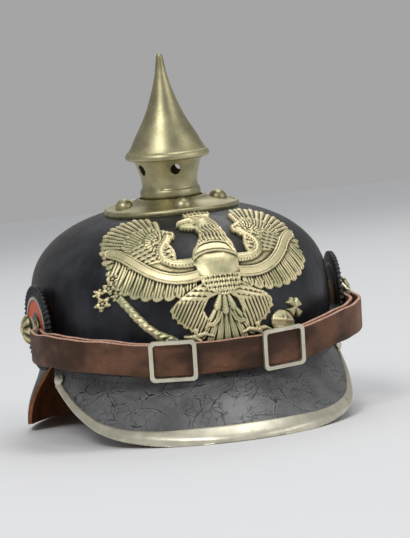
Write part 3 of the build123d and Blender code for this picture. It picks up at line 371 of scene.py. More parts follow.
def liner_leather(s, look):
    """Thin tan leather of the liner, darkened by wear, with painted shade round the holes in its fingers."""
    blotch = s.noise(22, detail=5)
    fibre = s.noise(2.0, detail=8, roughness=0.7)
    creases = s.noise(9, s.place((1.0, 1.0, 3.0)), detail=4)
    reach = s.written("hole_reach")
    worn = (blotch * 0.65 + fibre * 0.35).ramp(0.35, 0.66)
    base = s.mix(worn, scaled(look.liner, 0.45), scaled(look.liner, 1.0))
    # Painted shade round the holes in the fingers
    base = s.mix((1 - reach.ramp(2.6, 4.2)) * 0.6, base, scaled(look.liner, 0.25))
    s.finish(base_color=base, roughness=0.55 + fibre * 0.25, normal=s.bump(creases + fibre * 0.4, 0.4, 0.5))


def chestnut_leather(s, look):
    """Chestnut strap leather with dark and rubbed patches, fine creases and bare edges."""
    patches = s.noise(27, s.place((1.0, 1.0, 1.3)), detail=4, roughness=0.5)
    fine = s.noise(2.2, detail=8, roughness=0.7)
    creases = s.noise(6, s.place((0.3, 0.3, 2.6)), detail=5)
    edge = s.written("edge")
    base = s.mix(patches.ramp(0.38, 0.62), scaled(look.strap, 0.38), scaled(look.strap, 1.15))
    base = s.mix((patches * 0.5 + fine * 0.5).ramp(0.55, 0.70), base, colour(*RUBBED_CHESTNUT))
    base = s.mix(creases.ramp(0.62, 0.74) * 0.5, base, scaled(look.strap, 0.25))
    bare = s.mix(fine.ramp(0.3, 0.7), colour(*BARE_EDGE_DARK), colour(*BARE_EDGE_PALE))
    base = s.mix((edge * 1.1 + (fine - 0.5) * 0.5).ramp(0.35, 0.75), base, bare)
    height = creases * 0.7 + fine * 0.3
    s.finish(
        base_color=base, roughness=0.42 + fine * 0.25, normal=s.bump(height, 0.3, 0.5),
        specular_ior_level=0.22,
    )


def tarnished_nickel(s, look):
    """Dull nickel silver with a warm tarnish, dark pits and fine scratches."""
    clouds = s.noise(17, detail=5)
    fine = s.noise(1.8, detail=7, roughness=0.72)
    pits = s.cells(3.4, feature="F1")
    chance = s.noise(9, detail=2).ramp(0.44, 0.6)
    spots = (1 - pits.ramp(0.05, 0.17)) * chance
    scratches = s.noise(1.1, s.place((4.0, 4.0, 0.35)), detail=5)
    bright = (clouds * 0.7 + fine * 0.3).ramp(0.36, 0.66)
    base = s.mix(bright, scaled(look.nickel, 0.62), scaled(look.nickel, 1.0))
    base = s.mix(spots * 0.75, base, scaled(look.nickel, 0.13))
    normal = s.bump(fine * 0.5 + scratches * 0.4 - spots, 0.08, 0.5)
    rough = 0.38 + clouds * 0.12 + spots * 0.3
    s.finish(base_color=base, roughness=rough, metallic=1 - spots * 0.6, normal=normal)


def plated_steel(s, look):
    """Pale plated steel of the trim and buckles, with a soft worn sheen."""
    clouds = s.noise(13, detail=5)
    fine = s.noise(1.5, detail=7, roughness=0.7)
    grime = s.noise(4.5, detail=6).ramp(0.6, 0.76)
    base = s.mix(clouds.ramp(0.35, 0.65), scaled(look.steel, 0.8), scaled(look.steel, 1.0))
    base = s.mix(grime * 0.5, base, scaled(look.steel, 0.33))
    rough = 0.36 + fine * 0.16
    s.finish(base_color=base, roughness=rough, metallic=0.92, normal=s.bump(fine, 0.06, 0.4))


def pressed_brass(s, look):
    """Pale pressed brass, rubbed bright on its high places and olive to near black where it is hollow,
    partly tarnish and partly painted shade.
    """
    hollow = s.written("hollow")
    clouds = s.noise(10, detail=5)
    fine = s.noise(1.2, detail=6, roughness=0.7)
    patina = s.noise(21, detail=4).ramp(0.46, 0.62)
    # How hollow a place lies darkens it, partly as tarnish and partly as painted shade
    shade = hollow + (clouds - 0.5) * 0.5 + (fine - 0.5) * 0.4
    base = s.mix(patina * 0.6, scaled(look.brass, 1.0), colour(*BRASS_PATINA))
    base = s.mix(shade.ramp(0.24, 0.54), base, colour(*BRASS_SHADE))
    base = s.mix(shade.ramp(0.50, 0.86), base, colour(*BRASS_GRIME_AND_SHADE))
    rough = 0.42 + fine * 0.14 + shade.ramp(0.4, 1.0) * 0.25
    metallic = 0.85 - shade.ramp(0.5, 1.0) * 0.6
    s.finish(base_color=base, roughness=rough, metallic=metallic, normal=s.bump(fine, 0.05, 0.4))


# Middle of a cockade in side view, and its painted rings, each as the least and the greatest distance
# from that middle
COCKADE_MIDDLE = (0.0, -22.0, 56.0)
COCKADE_RING = (17.6, 19.8)
COCKADE_FIELD = (9.5, 17.7)
PAINT_BLEND = 0.4


def ring_mask(radius, ring):
    """1 between the two distances of a ring, 0 outside it."""
    low, high = ring
    return radius.ramp(low, low + PAINT_BLEND) * (1 - radius.ramp(high - PAINT_BLEND, high))


def cockade_paint(s, look, field):
    """Black paint on stamped sheet, with a bright ring round a painted field."""
    reach = s.vector("SUBTRACT", s.place(), tuple(placed(COCKADE_MIDDLE)))
    flat = s.vector("MULTIPLY", reach, (0.0, 1.0, 1.0))
    radius = s.node("ShaderNodeVectorMath", {"operation": "LENGTH"}, {0: flat}, output=1) * (1 / MM)
    chips = s.noise(4, detail=6)
    base = s.mix(chips.ramp(0.4, 0.72), scaled(look.lacquer, 0.9), scaled(look.lacquer, 3.0))
    base = s.mix(ring_mask(radius, COCKADE_FIELD), base, field)
    on_ring = ring_mask(radius, COCKADE_RING) * (1 - chips.ramp(0.6, 0.75) * 0.4)
    base = s.mix(on_ring, base, scaled(look.steel, 0.75))
    rough = 0.28 + chips * 0.2
    s.finish(base_color=base, roughness=rough, metallic=on_ring * 0.9, normal=s.bump(chips, 0.08, 0.4))


def red_cockade(s, look):
    """Right cockade, with a red ring inside the bright one."""
    cockade_paint(s, look, scaled(look.ring_red, 1.0))


def black_cockade(s, look):
    """Left cockade, black inside the bright ring as well."""
    cockade_paint(s, look, scaled(look.lacquer, 1.2))


def waxed_thread(s, look):
    """Dark waxed thread."""
    s.finish(base_color=scaled(look.lacquer, 6.0), roughness=0.55)


FINISHES = (
    black_lacquer, crackled_leather, tan_leather, liner_leather, chestnut_leather, tarnished_nickel,
    plated_steel, pressed_brass, red_cockade, black_cockade, waxed_thread,
)
FINISH_MAKERS = {maker.__name__: maker for maker in FINISHES}


def finish_named(name):
    """The material of that name, made when it is first asked for."""
    made = bpy.data.materials.get(name)
    if made is None:
        made = bpy.data.materials.new(name)
        FINISH_MAKERS[name](Shader(made), bpy.context.scene.helmet_look)
    return made


def dress(finish, *nodes):
    """Gives carried-over nodes a finish."""
    for node in nodes:
        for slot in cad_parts[node].material_slots:
            slot.material = finish_named(finish)


def dome_side(points, gap):
    """Below zero inside the skull's outer surface grown by `gap`, above zero outside it."""
    x, y, z = np.moveaxis(points, -1, 0)
    oval = (x / (SKULL_HALF_WIDTH + gap)) ** 2 + (y / (SKULL_HALF_LENGTH + gap)) ** 2
    rise = np.clip((z - WIDEST_LEVEL) / (DOME_RISE + gap), 0, None)
    drop = np.clip((WIDEST_LEVEL - z) / (WIDEST_LEVEL - BRIM_LEVEL), 0, None)
    wall = 1 - BRIM_DRAW_IN / SKULL_HALF_WIDTH * drop**2
    return (oval / wall**2) ** (DOME_WIDTH_POWER / 2) + rise**DOME_LEVEL_POWER - 1


# How far behind and ahead of its origin a line is searched for the skull, and in how many halvings
SEARCH_REACH = (-58.0, 14.0)
SEARCH_HALVINGS = 26


def on_dome(origins, direction, gap):
    """Where lines through `origins` along `direction` leave the grown skull."""
    low, high = (np.full(origins.shape[:-1], reach) for reach in SEARCH_REACH)
    for _ in range(SEARCH_HALVINGS):
        middle = (low + high) / 2
        outside = dome_side(origins + middle[..., None] * direction, gap) > 0
        high = np.where(outside, middle, high)
        low = np.where(outside, low, middle)
    return origins + low[..., None] * direction


def dome_normal(points, gap):
    """Outward unit normals of the grown skull."""
    reach = 0.05
    slopes = [
        dome_side(points + reach * axis, gap) - dome_side(points - reach * axis, gap) for axis in np.eye(3)
    ]
    normal = np.stack(slopes, axis=-1)
    return normal / np.linalg.norm(normal, axis=-1, keepdims=True)


def grid_faces(rows, columns, around=False):
    """Quads over a grid of points, closed round its columns if asked."""
    index = np.arange(rows * columns).reshape(rows, columns)
    if around:
        index = np.hstack([index, index[:, :1]])
    quads = np.stack([index[:-1, :-1], index[1:, :-1], index[1:, 1:], index[:-1, 1:]], axis=-1)
    return quads.reshape(-1, 4)


def tube_faces(rows, columns):
    """Faces of a grid that is closed round its columns and has a flat end at its first and last row."""
    end = np.arange(columns)
    return list(grid_faces(rows, columns, around=True)) + [end, end + (rows - 1) * columns]


def add_piece(name, points, faces, finish, body, values=None, closed=True):
    """Adds a smooth mesh piece, drawn in millimetres of the upright drawing, that rides on a body.

    `values` are numbers to write at its points for its finish, by name. In a closed piece the faces are
    turned outward, and points that no face uses are taken out.
    """
    mesh = bpy.data.meshes.new(name)
    mesh.from_pydata(placed(points).tolist(), [], [list(map(int, face)) for face in faces])
    for key, numbers in (values or {}).items():
        layer = mesh.attributes.new(key, "FLOAT", "POINT")
        layer.data.foreach_set("value", np.asarray(numbers, dtype=np.float32))
    if closed:
        shape = bmesh.new()
        shape.from_mesh(mesh)
        loose = [corner for corner in shape.verts if not corner.link_faces]
        bmesh.ops.delete(shape, geom=loose, context="VERTS")
        bmesh.ops.recalc_face_normals(shape, faces=shape.faces)
        shape.to_mesh(mesh)
        shape.free()
    mesh.shade_smooth()
    mesh.materials.append(finish_named(finish))
    piece = bpy.data.objects.new(name, mesh)
    bpy.context.scene.collection.objects.link(piece)
    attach(piece, body)
    return piece


def joined(parts):
    """One list of points and one of faces from several."""
    points, faces, count = [], [], 0
    for part_points, part_faces in parts:
        points.append(part_points.reshape(-1, 3))
        faces.extend(np.asarray(face) + count for face in part_faces)
        count += len(points[-1])
    return np.concatenate(points), faces


def closed_sheet(outer, inner, around=False, gone=None):
    """Sheet with a thickness between two grids of points, open where all corners of a face are `gone`."""
    rows, columns = outer.shape[:2]
    points = np.concatenate([outer.reshape(-1, 3), inner.reshape(-1, 3)])
    skin = grid_faces(rows, columns, around)
    if gone is not None:
        skin = skin[~gone.ravel()[skin].all(axis=1)]
    sides = np.concatenate([skin[:, [corner, (corner + 1) % 4]] for corner in range(4)])
    sides, uses = np.unique(np.sort(sides, axis=1), axis=0, return_counts=True)
    start, end = sides[uses == 1].T
    count = rows * columns
    walls = np.stack([start, end, end + count, start + count], axis=-1)
    return points, np.concatenate([skin, skin + count, walls])


def hole_rim(gone):
    """Places of a hole in a grid that touch a place outside it."""
    near = np.zeros_like(gone)
    for row in (-1, 0, 1):
        for column in (-1, 0, 1):
            near |= np.roll(~gone, (row, column), axis=(0, 1))
    return gone & near


def round_hole(across, up, radius):
    """Places moved to make a hole's rim round, their distance from its middle, and which ones it holds."""
    reach = np.maximum(np.hypot(across, up), 0.01)
    gone = reach < radius
    stretch = np.where(hole_rim(gone), radius / reach, 1.0)
    return across * stretch, up * stretch, reach, gone


def ridge(offset, half):
    """Rounded ridge, 1 at an offset of zero and nearly 0 at twice its half width."""
    return np.exp(-((offset / half) ** 2))


def waves(distance, pitch):
    """Waves between -1 and 1 with one pitch along a distance."""
    return np.cos(distance * TURN / pitch)


# Columns round a piece that runs once about the helmet's axis
ROUND_COLUMNS = 160
# A disc whose first ring is smaller than this is closed in its middle
SOLID_MIDDLE = 0.5


def polar_disc(radii, columns, rise, edge=None):
    """Disc of heights over its flat back, as points (across, up, out) and faces."""
    turn = full_turn(columns)[None, :]
    reach = np.asarray(radii)[:, None] * np.ones_like(turn)
    if edge is not None:
        reach = reach * edge(turn, reach)
    top = grid_of(reach * np.cos(turn), reach * np.sin(turn), rise(turn, reach))
    back = top.copy()
    back[..., 2] = np.minimum(0.0, top[..., 2])
    points, faces = closed_sheet(top, back, around=True)
    if radii[0] > SOLID_MIDDLE:
        return points, faces
    count = top.shape[0] * columns
    pierced = (faces % count < columns).all(axis=1)
    return points, list(faces[~pierced]) + [np.arange(columns), np.arange(columns) + count]


# Chin strap, on a plane that tilts up to the back
STRAP_TILT = math.radians(4)
STRAP_FRONT_LEVEL = 42.6
STRAP_FRONT_REACH = 119.6
STRAP_CENTRE_Y = -43.0
STRAP_OUTER_OVAL = (102.5, 75.5)
STRAP_INNER_OVAL = (96.9, 72.7)
STRAP_FOLD = (99.7, -39.0)
STRAP_FOLD_RADIUS = 2.8
STRAP_TONGUE_X = 37.0
STRAP_WIDTH = 19.5
STRAP_THICKNESS = 2.2
STRAP_CORNER = 0.8
# Height of the strap's slight waves, and the angles round its oval over which they and its rise set in
# and fade
STRAP_SWAY = 0.22
STRAP_SWAY_WAVES = 9.0
STRAP_SWAY_SHIFT = 0.6
STRAP_SWAY_STARTS = (0.4, 0.7)
STRAP_SWAY_ENDS = (1.57, 1.3)
STRAP_FLUTTER = 0.18
STRAP_FLUTTER_WAVES = 23.0
STRAP_RISE_STARTS = (0.45, 0.85)
STRAP_RISE_ENDS = (1.57, 1.15)
# Points along half of the strap: behind the buckle, round the fold, and over the front
STRAP_TONGUE_POINTS = 70
STRAP_FOLD_POINTS = 13
STRAP_FRONT_POINTS = 110
# Shares of the half width over which the bare edges set in
BARE_UPPER_EDGE = (0.90, 1.0)
BARE_LOWER_EDGE = (0.93, 1.0)


def strap_path():
    """Middle line of the strap on its plane, and the angle round its oval at each place."""
    (outer_x, outer_y), (inner_x, inner_y) = STRAP_OUTER_OVAL, STRAP_INNER_OVAL
    tongue = math.asin(STRAP_TONGUE_X / inner_x)
    quarter = math.pi / 2
    inner = np.linspace(tongue, quarter, STRAP_TONGUE_POINTS)
    fold = np.linspace(math.pi, 0, STRAP_FOLD_POINTS)
    half_outer = np.linspace(quarter, 0, STRAP_FRONT_POINTS)
    places = [(inner_x * math.sin(t), STRAP_CENTRE_Y - inner_y * math.cos(t), t) for t in inner]
    fold_x, fold_y = STRAP_FOLD
    places += [
        (fold_x + STRAP_FOLD_RADIUS * math.cos(t), fold_y + STRAP_FOLD_RADIUS * math.sin(t), quarter)
        for t in fold
    ]
    places += [(outer_x * math.sin(t), STRAP_CENTRE_Y - outer_y * math.cos(t), t) for t in half_outer]
    right_half = np.array(places)
    left_half = right_half[-2::-1] * (-1, 1, -1)
    return np.concatenate([right_half, left_half])


def rounded_section(width, thickness, corner, side_steps=7, corner_steps=4):
    """Rounded rectangle as (through, across) places."""
    half_width, half_thickness = width / 2 - corner, thickness / 2 - corner
    half = [(thickness / 2, across) for across in np.linspace(-half_width, half_width, side_steps)]
    for turn in np.linspace(0, math.pi / 2, corner_steps)[1:]:
        half.append((half_thickness + corner * math.cos(turn), half_width + corner * math.sin(turn)))
    for turn in np.linspace(math.pi / 2, math.pi, corner_steps)[:-1]:
        half.append((-half_thickness + corner * math.cos(turn), half_width + corner * math.sin(turn)))
    half = np.array(half)
    return np.concatenate([half, -half])


def smooth(low, high, value):
    """0 below `low`, 1 above `high`, smooth between."""
    share = np.clip((value - low) / (high - low), 0, 1)
    return share * share * (3 - 2 * share)


def strap_shape(look):
    """Points and faces of the strap, and how near each point is to the strap's long edges."""
    path = strap_path()
    places, angle = path[:, :2], path[:, 2]
    ahead = np.gradient(places, axis=0)
    ahead /= np.linalg.norm(ahead, axis=1, keepdims=True)
    through = np.stack([-ahead[:, 1], ahead[:, 0]], axis=1)
    section = rounded_section(STRAP_WIDTH, STRAP_THICKNESS, STRAP_CORNER)
    turn = np.abs(angle)
    rise = look.strap_rise / MM * smooth(*STRAP_RISE_STARTS, turn) * smooth(*STRAP_RISE_ENDS, turn)
    sway = STRAP_SWAY * np.sin(angle * STRAP_SWAY_WAVES + STRAP_SWAY_SHIFT)
    sway = sway * smooth(*STRAP_SWAY_STARTS, turn) * smooth(*STRAP_SWAY_ENDS, turn)
    x = places[:, :1] + section[:, 0] * through[:, :1]
    y = places[:, 1:] + section[:, 0] * through[:, 1:]
    height = section[:, 1] / (STRAP_WIDTH / 2)
    flutter = STRAP_FLUTTER * np.sin(angle * STRAP_FLUTTER_WAVES)[:, None] * height**3
    across = section[:, 1] + rise[:, None] + flutter + sway[:, None]
    base = STRAP_FRONT_LEVEL + STRAP_FRONT_REACH * math.tan(STRAP_TILT)
    c, s = math.cos(STRAP_TILT), math.sin(STRAP_TILT)
    points = grid_of(x, y * c - across * s, base + y * s + across * c)
    edge = smooth(*BARE_UPPER_EDGE, height) + 0.5 * smooth(*BARE_LOWER_EDGE, -height)
    return points.reshape(-1, 3), tube_faces(*points.shape[:2]), np.tile(edge, len(points))


# Liner: a band inside the brim that ends in eight fingers
LINER_RIM = (86.45, 105.8)
# Radius at the brim that the fingers' slots are measured on
LINER_MEAN_RADIUS = 96.0
LINER_LOW = 29.5
LINER_TURN_LEVEL = 39.4
LINER_RISE = 72.0
LINER_DRAW_POWER = 1.6
LINER_THICKNESS = 1.4
LINER_CLEARANCE = 0.05
# Distance from a finger's hole that the band's points are given, because all of them lie far from one
FAR_FROM_HOLES = 99.0
FINGER_COUNT = 8
FINGER_LOW_SHARE = 0.941
FINGER_TIP_SHARE = 0.40
FINGER_HOLE_SHARE = 0.46
FINGER_HOLE_RADIUS = 2.6
FINGER_SLOT = 7.0
# Share of a finger's length over which its slot opens, where its round tip sets in, and how long that is
FINGER_SLOT_OPENING = 0.08
FINGER_TIP_START = 0.82
FINGER_TIP_LENGTH = 0.185
FINGER_GRID = (51, 27)
# Rows of the band's bend, and how much further in than the fingers' lower ends it reaches
BEND_ROWS = 9
BEND_OVERLAP = 0.02
# How much the fingers' folds differ from each other, and how much flatter a fold is at a finger's sides
FOLD_VARIETY = 0.35
FOLD_VARIETY_TURN = 2.4
FOLD_FLATTENING = 0.35
HEAD_MIDDLE_LEVEL = 33.4


def liner_place(turn, share):
    """Place on the liner's outer side."""
    level = LINER_TURN_LEVEL + LINER_RISE * np.clip(1 - share**2, 0, 1) ** (1 / LINER_DRAW_POWER)
    return on_oval(LINER_RIM[0] * share, LINER_RIM[1] * share, turn, level)


def inward(points, depth):
    """Points moved towards the middle of the head by a depth."""
    reach = points - np.array([0.0, 0.0, HEAD_MIDDLE_LEVEL])
    return points - reach / np.linalg.norm(reach, axis=-1, keepdims=True) * np.asarray(depth)[..., None]


def liner_shape(look):
    """Points and faces of the liner, and each point's distance from the nearest finger's hole."""
    turn = full_turn(ROUND_COLUMNS)
    low = on_oval(*LINER_RIM, turn, LINER_LOW)
    share = np.linspace(1, FINGER_LOW_SHARE - BEND_OVERLAP, BEND_ROWS)
    bend = liner_place(turn[None, :], share[:, None])
    outer = np.concatenate([low[None], bend])
    flat = outer.copy()
    flat[..., :2] *= 1 - LINER_THICKNESS / LINER_RIM[0]
    band = closed_sheet(outer, flat, around=True)
    parts, holes = [band], [np.full(len(band[0]), FAR_FROM_HOLES)]
    rows, columns = FINGER_GRID
    along = np.linspace(0, 1, rows)[:, None]
    across = np.linspace(-1, 1, columns)[None, :]
    share = FINGER_LOW_SHARE + (FINGER_TIP_SHARE - FINGER_LOW_SHARE) * along
    slot = FINGER_SLOT * smooth(0.0, FINGER_SLOT_OPENING, along) / (2 * LINER_MEAN_RADIUS * share)
    into_tip = np.clip((along - FINGER_TIP_START) / FINGER_TIP_LENGTH, 0, None)
    half = (math.pi / FINGER_COUNT - slot) * np.sqrt(np.clip(1 - into_tip**2, 0.02, 1))
    for count in range(FINGER_COUNT):
        middle = TURN / FINGER_COUNT * count
        skin = liner_place(middle + half * across, share)
        hole = liner_place(middle, FINGER_HOLE_SHARE)
        x, y, reach, gone = round_hole(skin[..., 0] - hole[0], skin[..., 1] - hole[1], FINGER_HOLE_RADIUS)
        x, y = (x + hole[0]) / LINER_RIM[0], (y + hole[1]) / LINER_RIM[1]
        skin = liner_place(np.arctan2(x, -y), np.hypot(x, y))
        variety = 1 + FOLD_VARIETY * math.sin(count * FOLD_VARIETY_TURN)
        sag = look.finger_sag / MM * np.sin(math.pi * along) * variety * (1 - FOLD_FLATTENING * across**2)
        skin = inward(skin, sag + LINER_CLEARANCE)
        inner = inward(skin, LINER_THICKNESS)
        parts.append(closed_sheet(skin, inner, gone=gone))
        holes.append(np.tile(reach.ravel(), 2))
    points, faces = joined(parts)
    return points, faces, np.concatenate(holes)


def softened(places, steps=6):
    """Places joined by a smooth curve through them."""
    places = np.array(places)
    before = np.vstack([2 * places[0] - places[1], places, 2 * places[-1] - places[-2]])
    share = np.linspace(0, 1, steps, endpoint=False)[:, None]
    runs = []
    for a, b, c, d in zip(before, before[1:], before[2:], before[3:]):
        runs.append(0.5 * (2 * b + (c - a) * share + (2 * a - 5 * b + 4 * c - d) * share**2
                           + (3 * b - a - 3 * c + d) * share**3))
    return np.vstack(runs + [places[-1:]])


# Neck and cone of the spike, as (radius, level) places, their wall, and the neck's vent holes
NECK_PROFILE = (
    (17.8, 124.5), (17.9, 125.6), (18.6, 126.3), (19.0, 127.6), (19.0, 129.2), (18.6, 130.8),
    (17.8, 131.8), (17.5, 133.0), (17.5, 135.6), (18.0, 139.2), (19.2, 143.6), (20.7, 147.8),
    (22.0, 151.0),
)
CONE_PROFILE = (
    (22.4, 151.4), (24.6, 150.3), (26.0, 150.5), (26.5, 151.5), (26.3, 153.2), (25.5, 154.5),
    (24.7, 155.0), (24.0, 155.8), (22.2, 158.8), (20.0, 163.2), (17.3, 168.0), (14.1, 173.6),
    (11.4, 179.2), (9.0, 185.4), (6.9, 191.6), (5.0, 197.8), (3.6, 203.8), (2.7, 209.4), (2.2, 212.8),
    (1.7, 214.5), (0.9, 215.2), (0.2, 215.4),
)
SPIKE_WALL = 0.9
# Least share of the cone's radius that its hollow keeps in the tip
HOLLOW_SHARE = 0.3
VENT_COUNT = 5
VENT_RADIUS = 3.4
VENT_LEVEL = 144.2


def neck_shape():
    """Points and faces of the spike's neck with its vents."""
    radii, levels = softened(NECK_PROFILE).T
    turn = full_turn(180)[None, :]
    middle = np.round(turn * VENT_COUNT / TURN) * TURN / VENT_COUNT
    wide = np.interp(VENT_LEVEL, levels, radii)
    across, up, _, gone = round_hole((turn - middle) * wide, levels[:, None] - VENT_LEVEL, VENT_RADIUS)
    turn, level = middle + across / wide, VENT_LEVEL + up
    radius = np.interp(level, levels, radii)
    shells = [on_oval(reach, reach, turn, level) for reach in (radius, radius - SPIKE_WALL)]
    return closed_sheet(*shells, around=True, gone=gone)


def cone_shape():
    """Points and faces of the spike's hollow cone."""
    turn = full_turn(ROUND_COLUMNS)
    radii, levels = softened(CONE_PROFILE, 5).T[:, :, None]
    hollow = np.maximum(radii - SPIKE_WALL, HOLLOW_SHARE * radii)
    outer = on_oval(radii, radii, turn, levels)
    inner = on_oval(hollow, hollow, turn, np.minimum(levels, levels.max() - SPIKE_WALL))
    return closed_sheet(outer, inner, around=True)


# Base plate's outside, as (radius, height above the skull) places, and its studs
PLATE_PROFILE = (
    (42.1, 0.2), (42.6, 0.8), (42.7, 2.1), (42.2, 3.0), (41.1, 3.3), (40.1, 3.0), (39.5, 2.5),
    (36.0, 2.4), (31.0, 2.5), (27.0, 3.0), (24.2, 3.9), (22.4, 4.9), (21.5, 5.4), (20.6, 5.6),
    (20.0, 5.3), (19.9, 4.2),
)
PLATE_FOOT = 0.1
STUD_CIRCLE = 30.0
STUD_RADIUS = 5.8
STUD_RISE = 5.4
STUD_FOOT_LIFT = 2.3
# Lift of a stud head's lowest ring, which keeps its edge closed
STUD_EDGE = 0.05
STUD_RINGS = 14
STUD_SIDES = 48
STUD_FIRST_RING = 0.02


def crown_level(radius, turn):
    """Level of the skull's outside near its crown."""
    share = np.hypot(radius * np.sin(turn) / SKULL_HALF_WIDTH, radius * np.cos(turn) / SKULL_HALF_LENGTH)
    return WIDEST_LEVEL + DOME_RISE * (1 - share**DOME_WIDTH_POWER) ** (1 / DOME_LEVEL_POWER)


def plate_shape():
    """Points and faces of the dished base plate's outside."""
    turn = full_turn(ROUND_COLUMNS)[None, :]
    radii, heights = softened(PLATE_PROFILE, 4).T[:, :, None]
    skull = crown_level(radii, turn)
    shells = [on_oval(radii, radii, turn, skull + height) for height in (heights, PLATE_FOOT)]
    return closed_sheet(*shells, around=True)


def stud_dome(place, normal, radius, rise):
    """Points and faces of a domed stud head on a place of a surface."""
    normal = normal / np.linalg.norm(normal)
    first = np.cross(normal, (0.0, 1.0, 0.3))
    first /= np.linalg.norm(first)
    second = np.cross(normal, first)
    share = np.sin(np.linspace(STUD_FIRST_RING, math.pi / 2, STUD_RINGS))

    def height(turn, reach):
        return STUD_EDGE + rise * np.sqrt(np.clip(1 - (reach / radius) ** 2, 0, 1))

    points, faces = polar_disc(radius * share, STUD_SIDES, height)
    across, up, out = points.T[:, :, None]
    return place + across * first + up * second + out * normal, faces


def plate_stud_shapes():
    """Points and faces of the base plate's four studs."""
    studs = []
    for turn in full_turn(4):
        place = on_oval(STUD_CIRCLE, STUD_CIRCLE, turn, crown_level(STUD_CIRCLE, turn))
        normal = dome_normal(place, 0.0)
        studs.append(stud_dome(place + STUD_FOOT_LIFT * normal, normal, STUD_RADIUS, STUD_RISE))
    return joined(studs)


# Edge of the front visor: places along it as shares of its run and of its rise
EDGE_FRONT_Y = -141.0
EDGE_BACK_Y = -28.0
EDGE_SHARES = (
    (0.0, 0.0), (0.080, 0.005), (0.186, 0.035), (0.292, 0.084), (0.398, 0.148), (0.504, 0.246),
    (0.628, 0.375), (0.761, 0.538), (0.885, 0.694), (0.930, 0.772), (0.965, 0.850), (1.0, 1.0),
)
REST_SLOPE = 0.09705
REST_FRONT_Y = -154.7
TRIM_END_Y = -38.5
TRIM_FRONT_HEIGHT = 6.8
TRIM_SIDE_HEIGHT = 4.8
TRIM_INNER_HEIGHT = 4.6
TRIM_SHEET = 0.9
TRIM_BULGE = 0.25
TRIM_NARROWS = (-150, -95)
TRIM_OVAL = (104.3, 154.7)
TRIM_INNER = VISOR_THICKNESS + TRIM_SHEET
# Parts of the trim's section, as (height, distance out of the visor's upper side) places: its upper edge,
# whose heights are beyond the trim's own, its fold under the visor's edge, and its edge inside
TRIM_UPPER_EDGE = ((0.0, -0.3), (0.1, 0.5), (-0.3, TRIM_SHEET))
TRIM_FOLD = ((0.0, TRIM_SHEET), (-0.55, 0.6), (-0.8, -0.2), (-0.8, 0.6 - TRIM_INNER), (-0.4, -TRIM_INNER))
TRIM_INNER_EDGE = ((TRIM_INNER_HEIGHT, -TRIM_INNER), (TRIM_INNER_HEIGHT + 0.3, 0.2 - VISOR_THICKNESS))
# Shares of the trim's height at which its bulge is drawn
TRIM_BULGE_SHARES = (0.8, 0.6, 0.4, 0.2)
# How much less than its sheet's thickness the trim reaches below the visor's edge
TRIM_SPARE = 0.02
# Places tried along half of the visor's edge, the angle that they end at, the step at which they are kept,
# and the rounds that bring their levels closer to the edge
EDGE_PLACES = 3000
EDGE_LAST_TURN = 1.5
EDGE_THINNING = 12
EDGE_ROUNDS = 60
# Places over which the trim's level is averaged
EDGE_AVERAGE = 9
TRIM_STUD_PLACE = (-42.0, 25.6)
TRIM_STUD_RADIUS = 3.9
TRIM_STUD_RISE = 3.0


def visor_half(level):
    """Half width and half length of the front visor's upper side at a level."""
    drop = VISOR_TOP_LEVEL - level
    return VISOR_TOP_HALF[0] + VISOR_SLOPE[0] * drop, VISOR_TOP_HALF[1] + VISOR_SLOPE[1] * drop


def visor_place(turn, level, outward=0.0):
    """Place on the front visor's upper side, moved out along its normal."""
    half_x, half_y = visor_half(level)
    ahead = grid_of(half_x * np.cos(turn), half_y * np.sin(turn), 0.0)
    normal = -np.cross(ahead, on_oval(*VISOR_SLOPE, turn, -1.0))
    normal /= np.linalg.norm(normal, axis=-1, keepdims=True)
    return on_oval(half_x, half_y, turn, level) + outward * normal


def edge_level(y):
    """Level of the visor's lower edge in side view."""
    flat = -REST_SLOPE * (y - REST_FRONT_Y)
    low = -REST_SLOPE * (EDGE_FRONT_Y - REST_FRONT_Y)
    run, rise = np.array(EDGE_SHARES).T
    share = np.interp((y - EDGE_FRONT_Y) / (EDGE_BACK_Y - EDGE_FRONT_Y), run, rise)
    return np.where(y < EDGE_FRONT_Y, flat, low + share * (VISOR_TOP_LEVEL - low))


def trim_shape():
    """Points and faces of the folded metal trim round the visor's edge."""
    half_turn = np.linspace(0, EDGE_LAST_TURN, EDGE_PLACES)
    level = np.zeros_like(half_turn)
    for _ in range(EDGE_ROUNDS):
        level = 0.5 * level + 0.5 * edge_level(visor_place(half_turn, level)[:, 1])
    back = visor_place(half_turn, level)[:, 1]
    kept = np.flatnonzero(back < TRIM_END_Y)[::EDGE_THINNING]
    half_turn, level, back = half_turn[kept], level[kept], back[kept]
    padded = np.pad(level, EDGE_AVERAGE // 2, mode="edge")
    level = np.convolve(padded, np.full(EDGE_AVERAGE, 1 / EDGE_AVERAGE), mode="valid")
    turn = np.concatenate([-half_turn[:0:-1], half_turn])
    level, back = (np.concatenate([values[:0:-1], values]) for values in (level, back))
    side = smooth(*TRIM_NARROWS, back)
    height = TRIM_FRONT_HEIGHT + (TRIM_SIDE_HEIGHT - TRIM_FRONT_HEIGHT) * side
    section = [(height + rise, out) for rise, out in TRIM_UPPER_EDGE]
    for share in TRIM_BULGE_SHARES:
        section.append((height * share, TRIM_SHEET + TRIM_BULGE * math.sin(math.pi * share)))
    section += [*TRIM_FOLD, *TRIM_INNER_EDGE]
    points = np.stack([visor_place(turn, level + rise, out) for rise, out in section], axis=1)
    beyond = np.hypot(points[..., 0] / TRIM_OVAL[0], points[..., 1] / TRIM_OVAL[1])
    points[..., :2] /= np.maximum(beyond, 1)[..., None]
    points[..., 2] = np.maximum(points[..., 2], edge_level(points[..., 1]) - TRIM_SHEET + TRIM_SPARE)
    return points.reshape(-1, 3), tube_faces(*points.shape[:2])


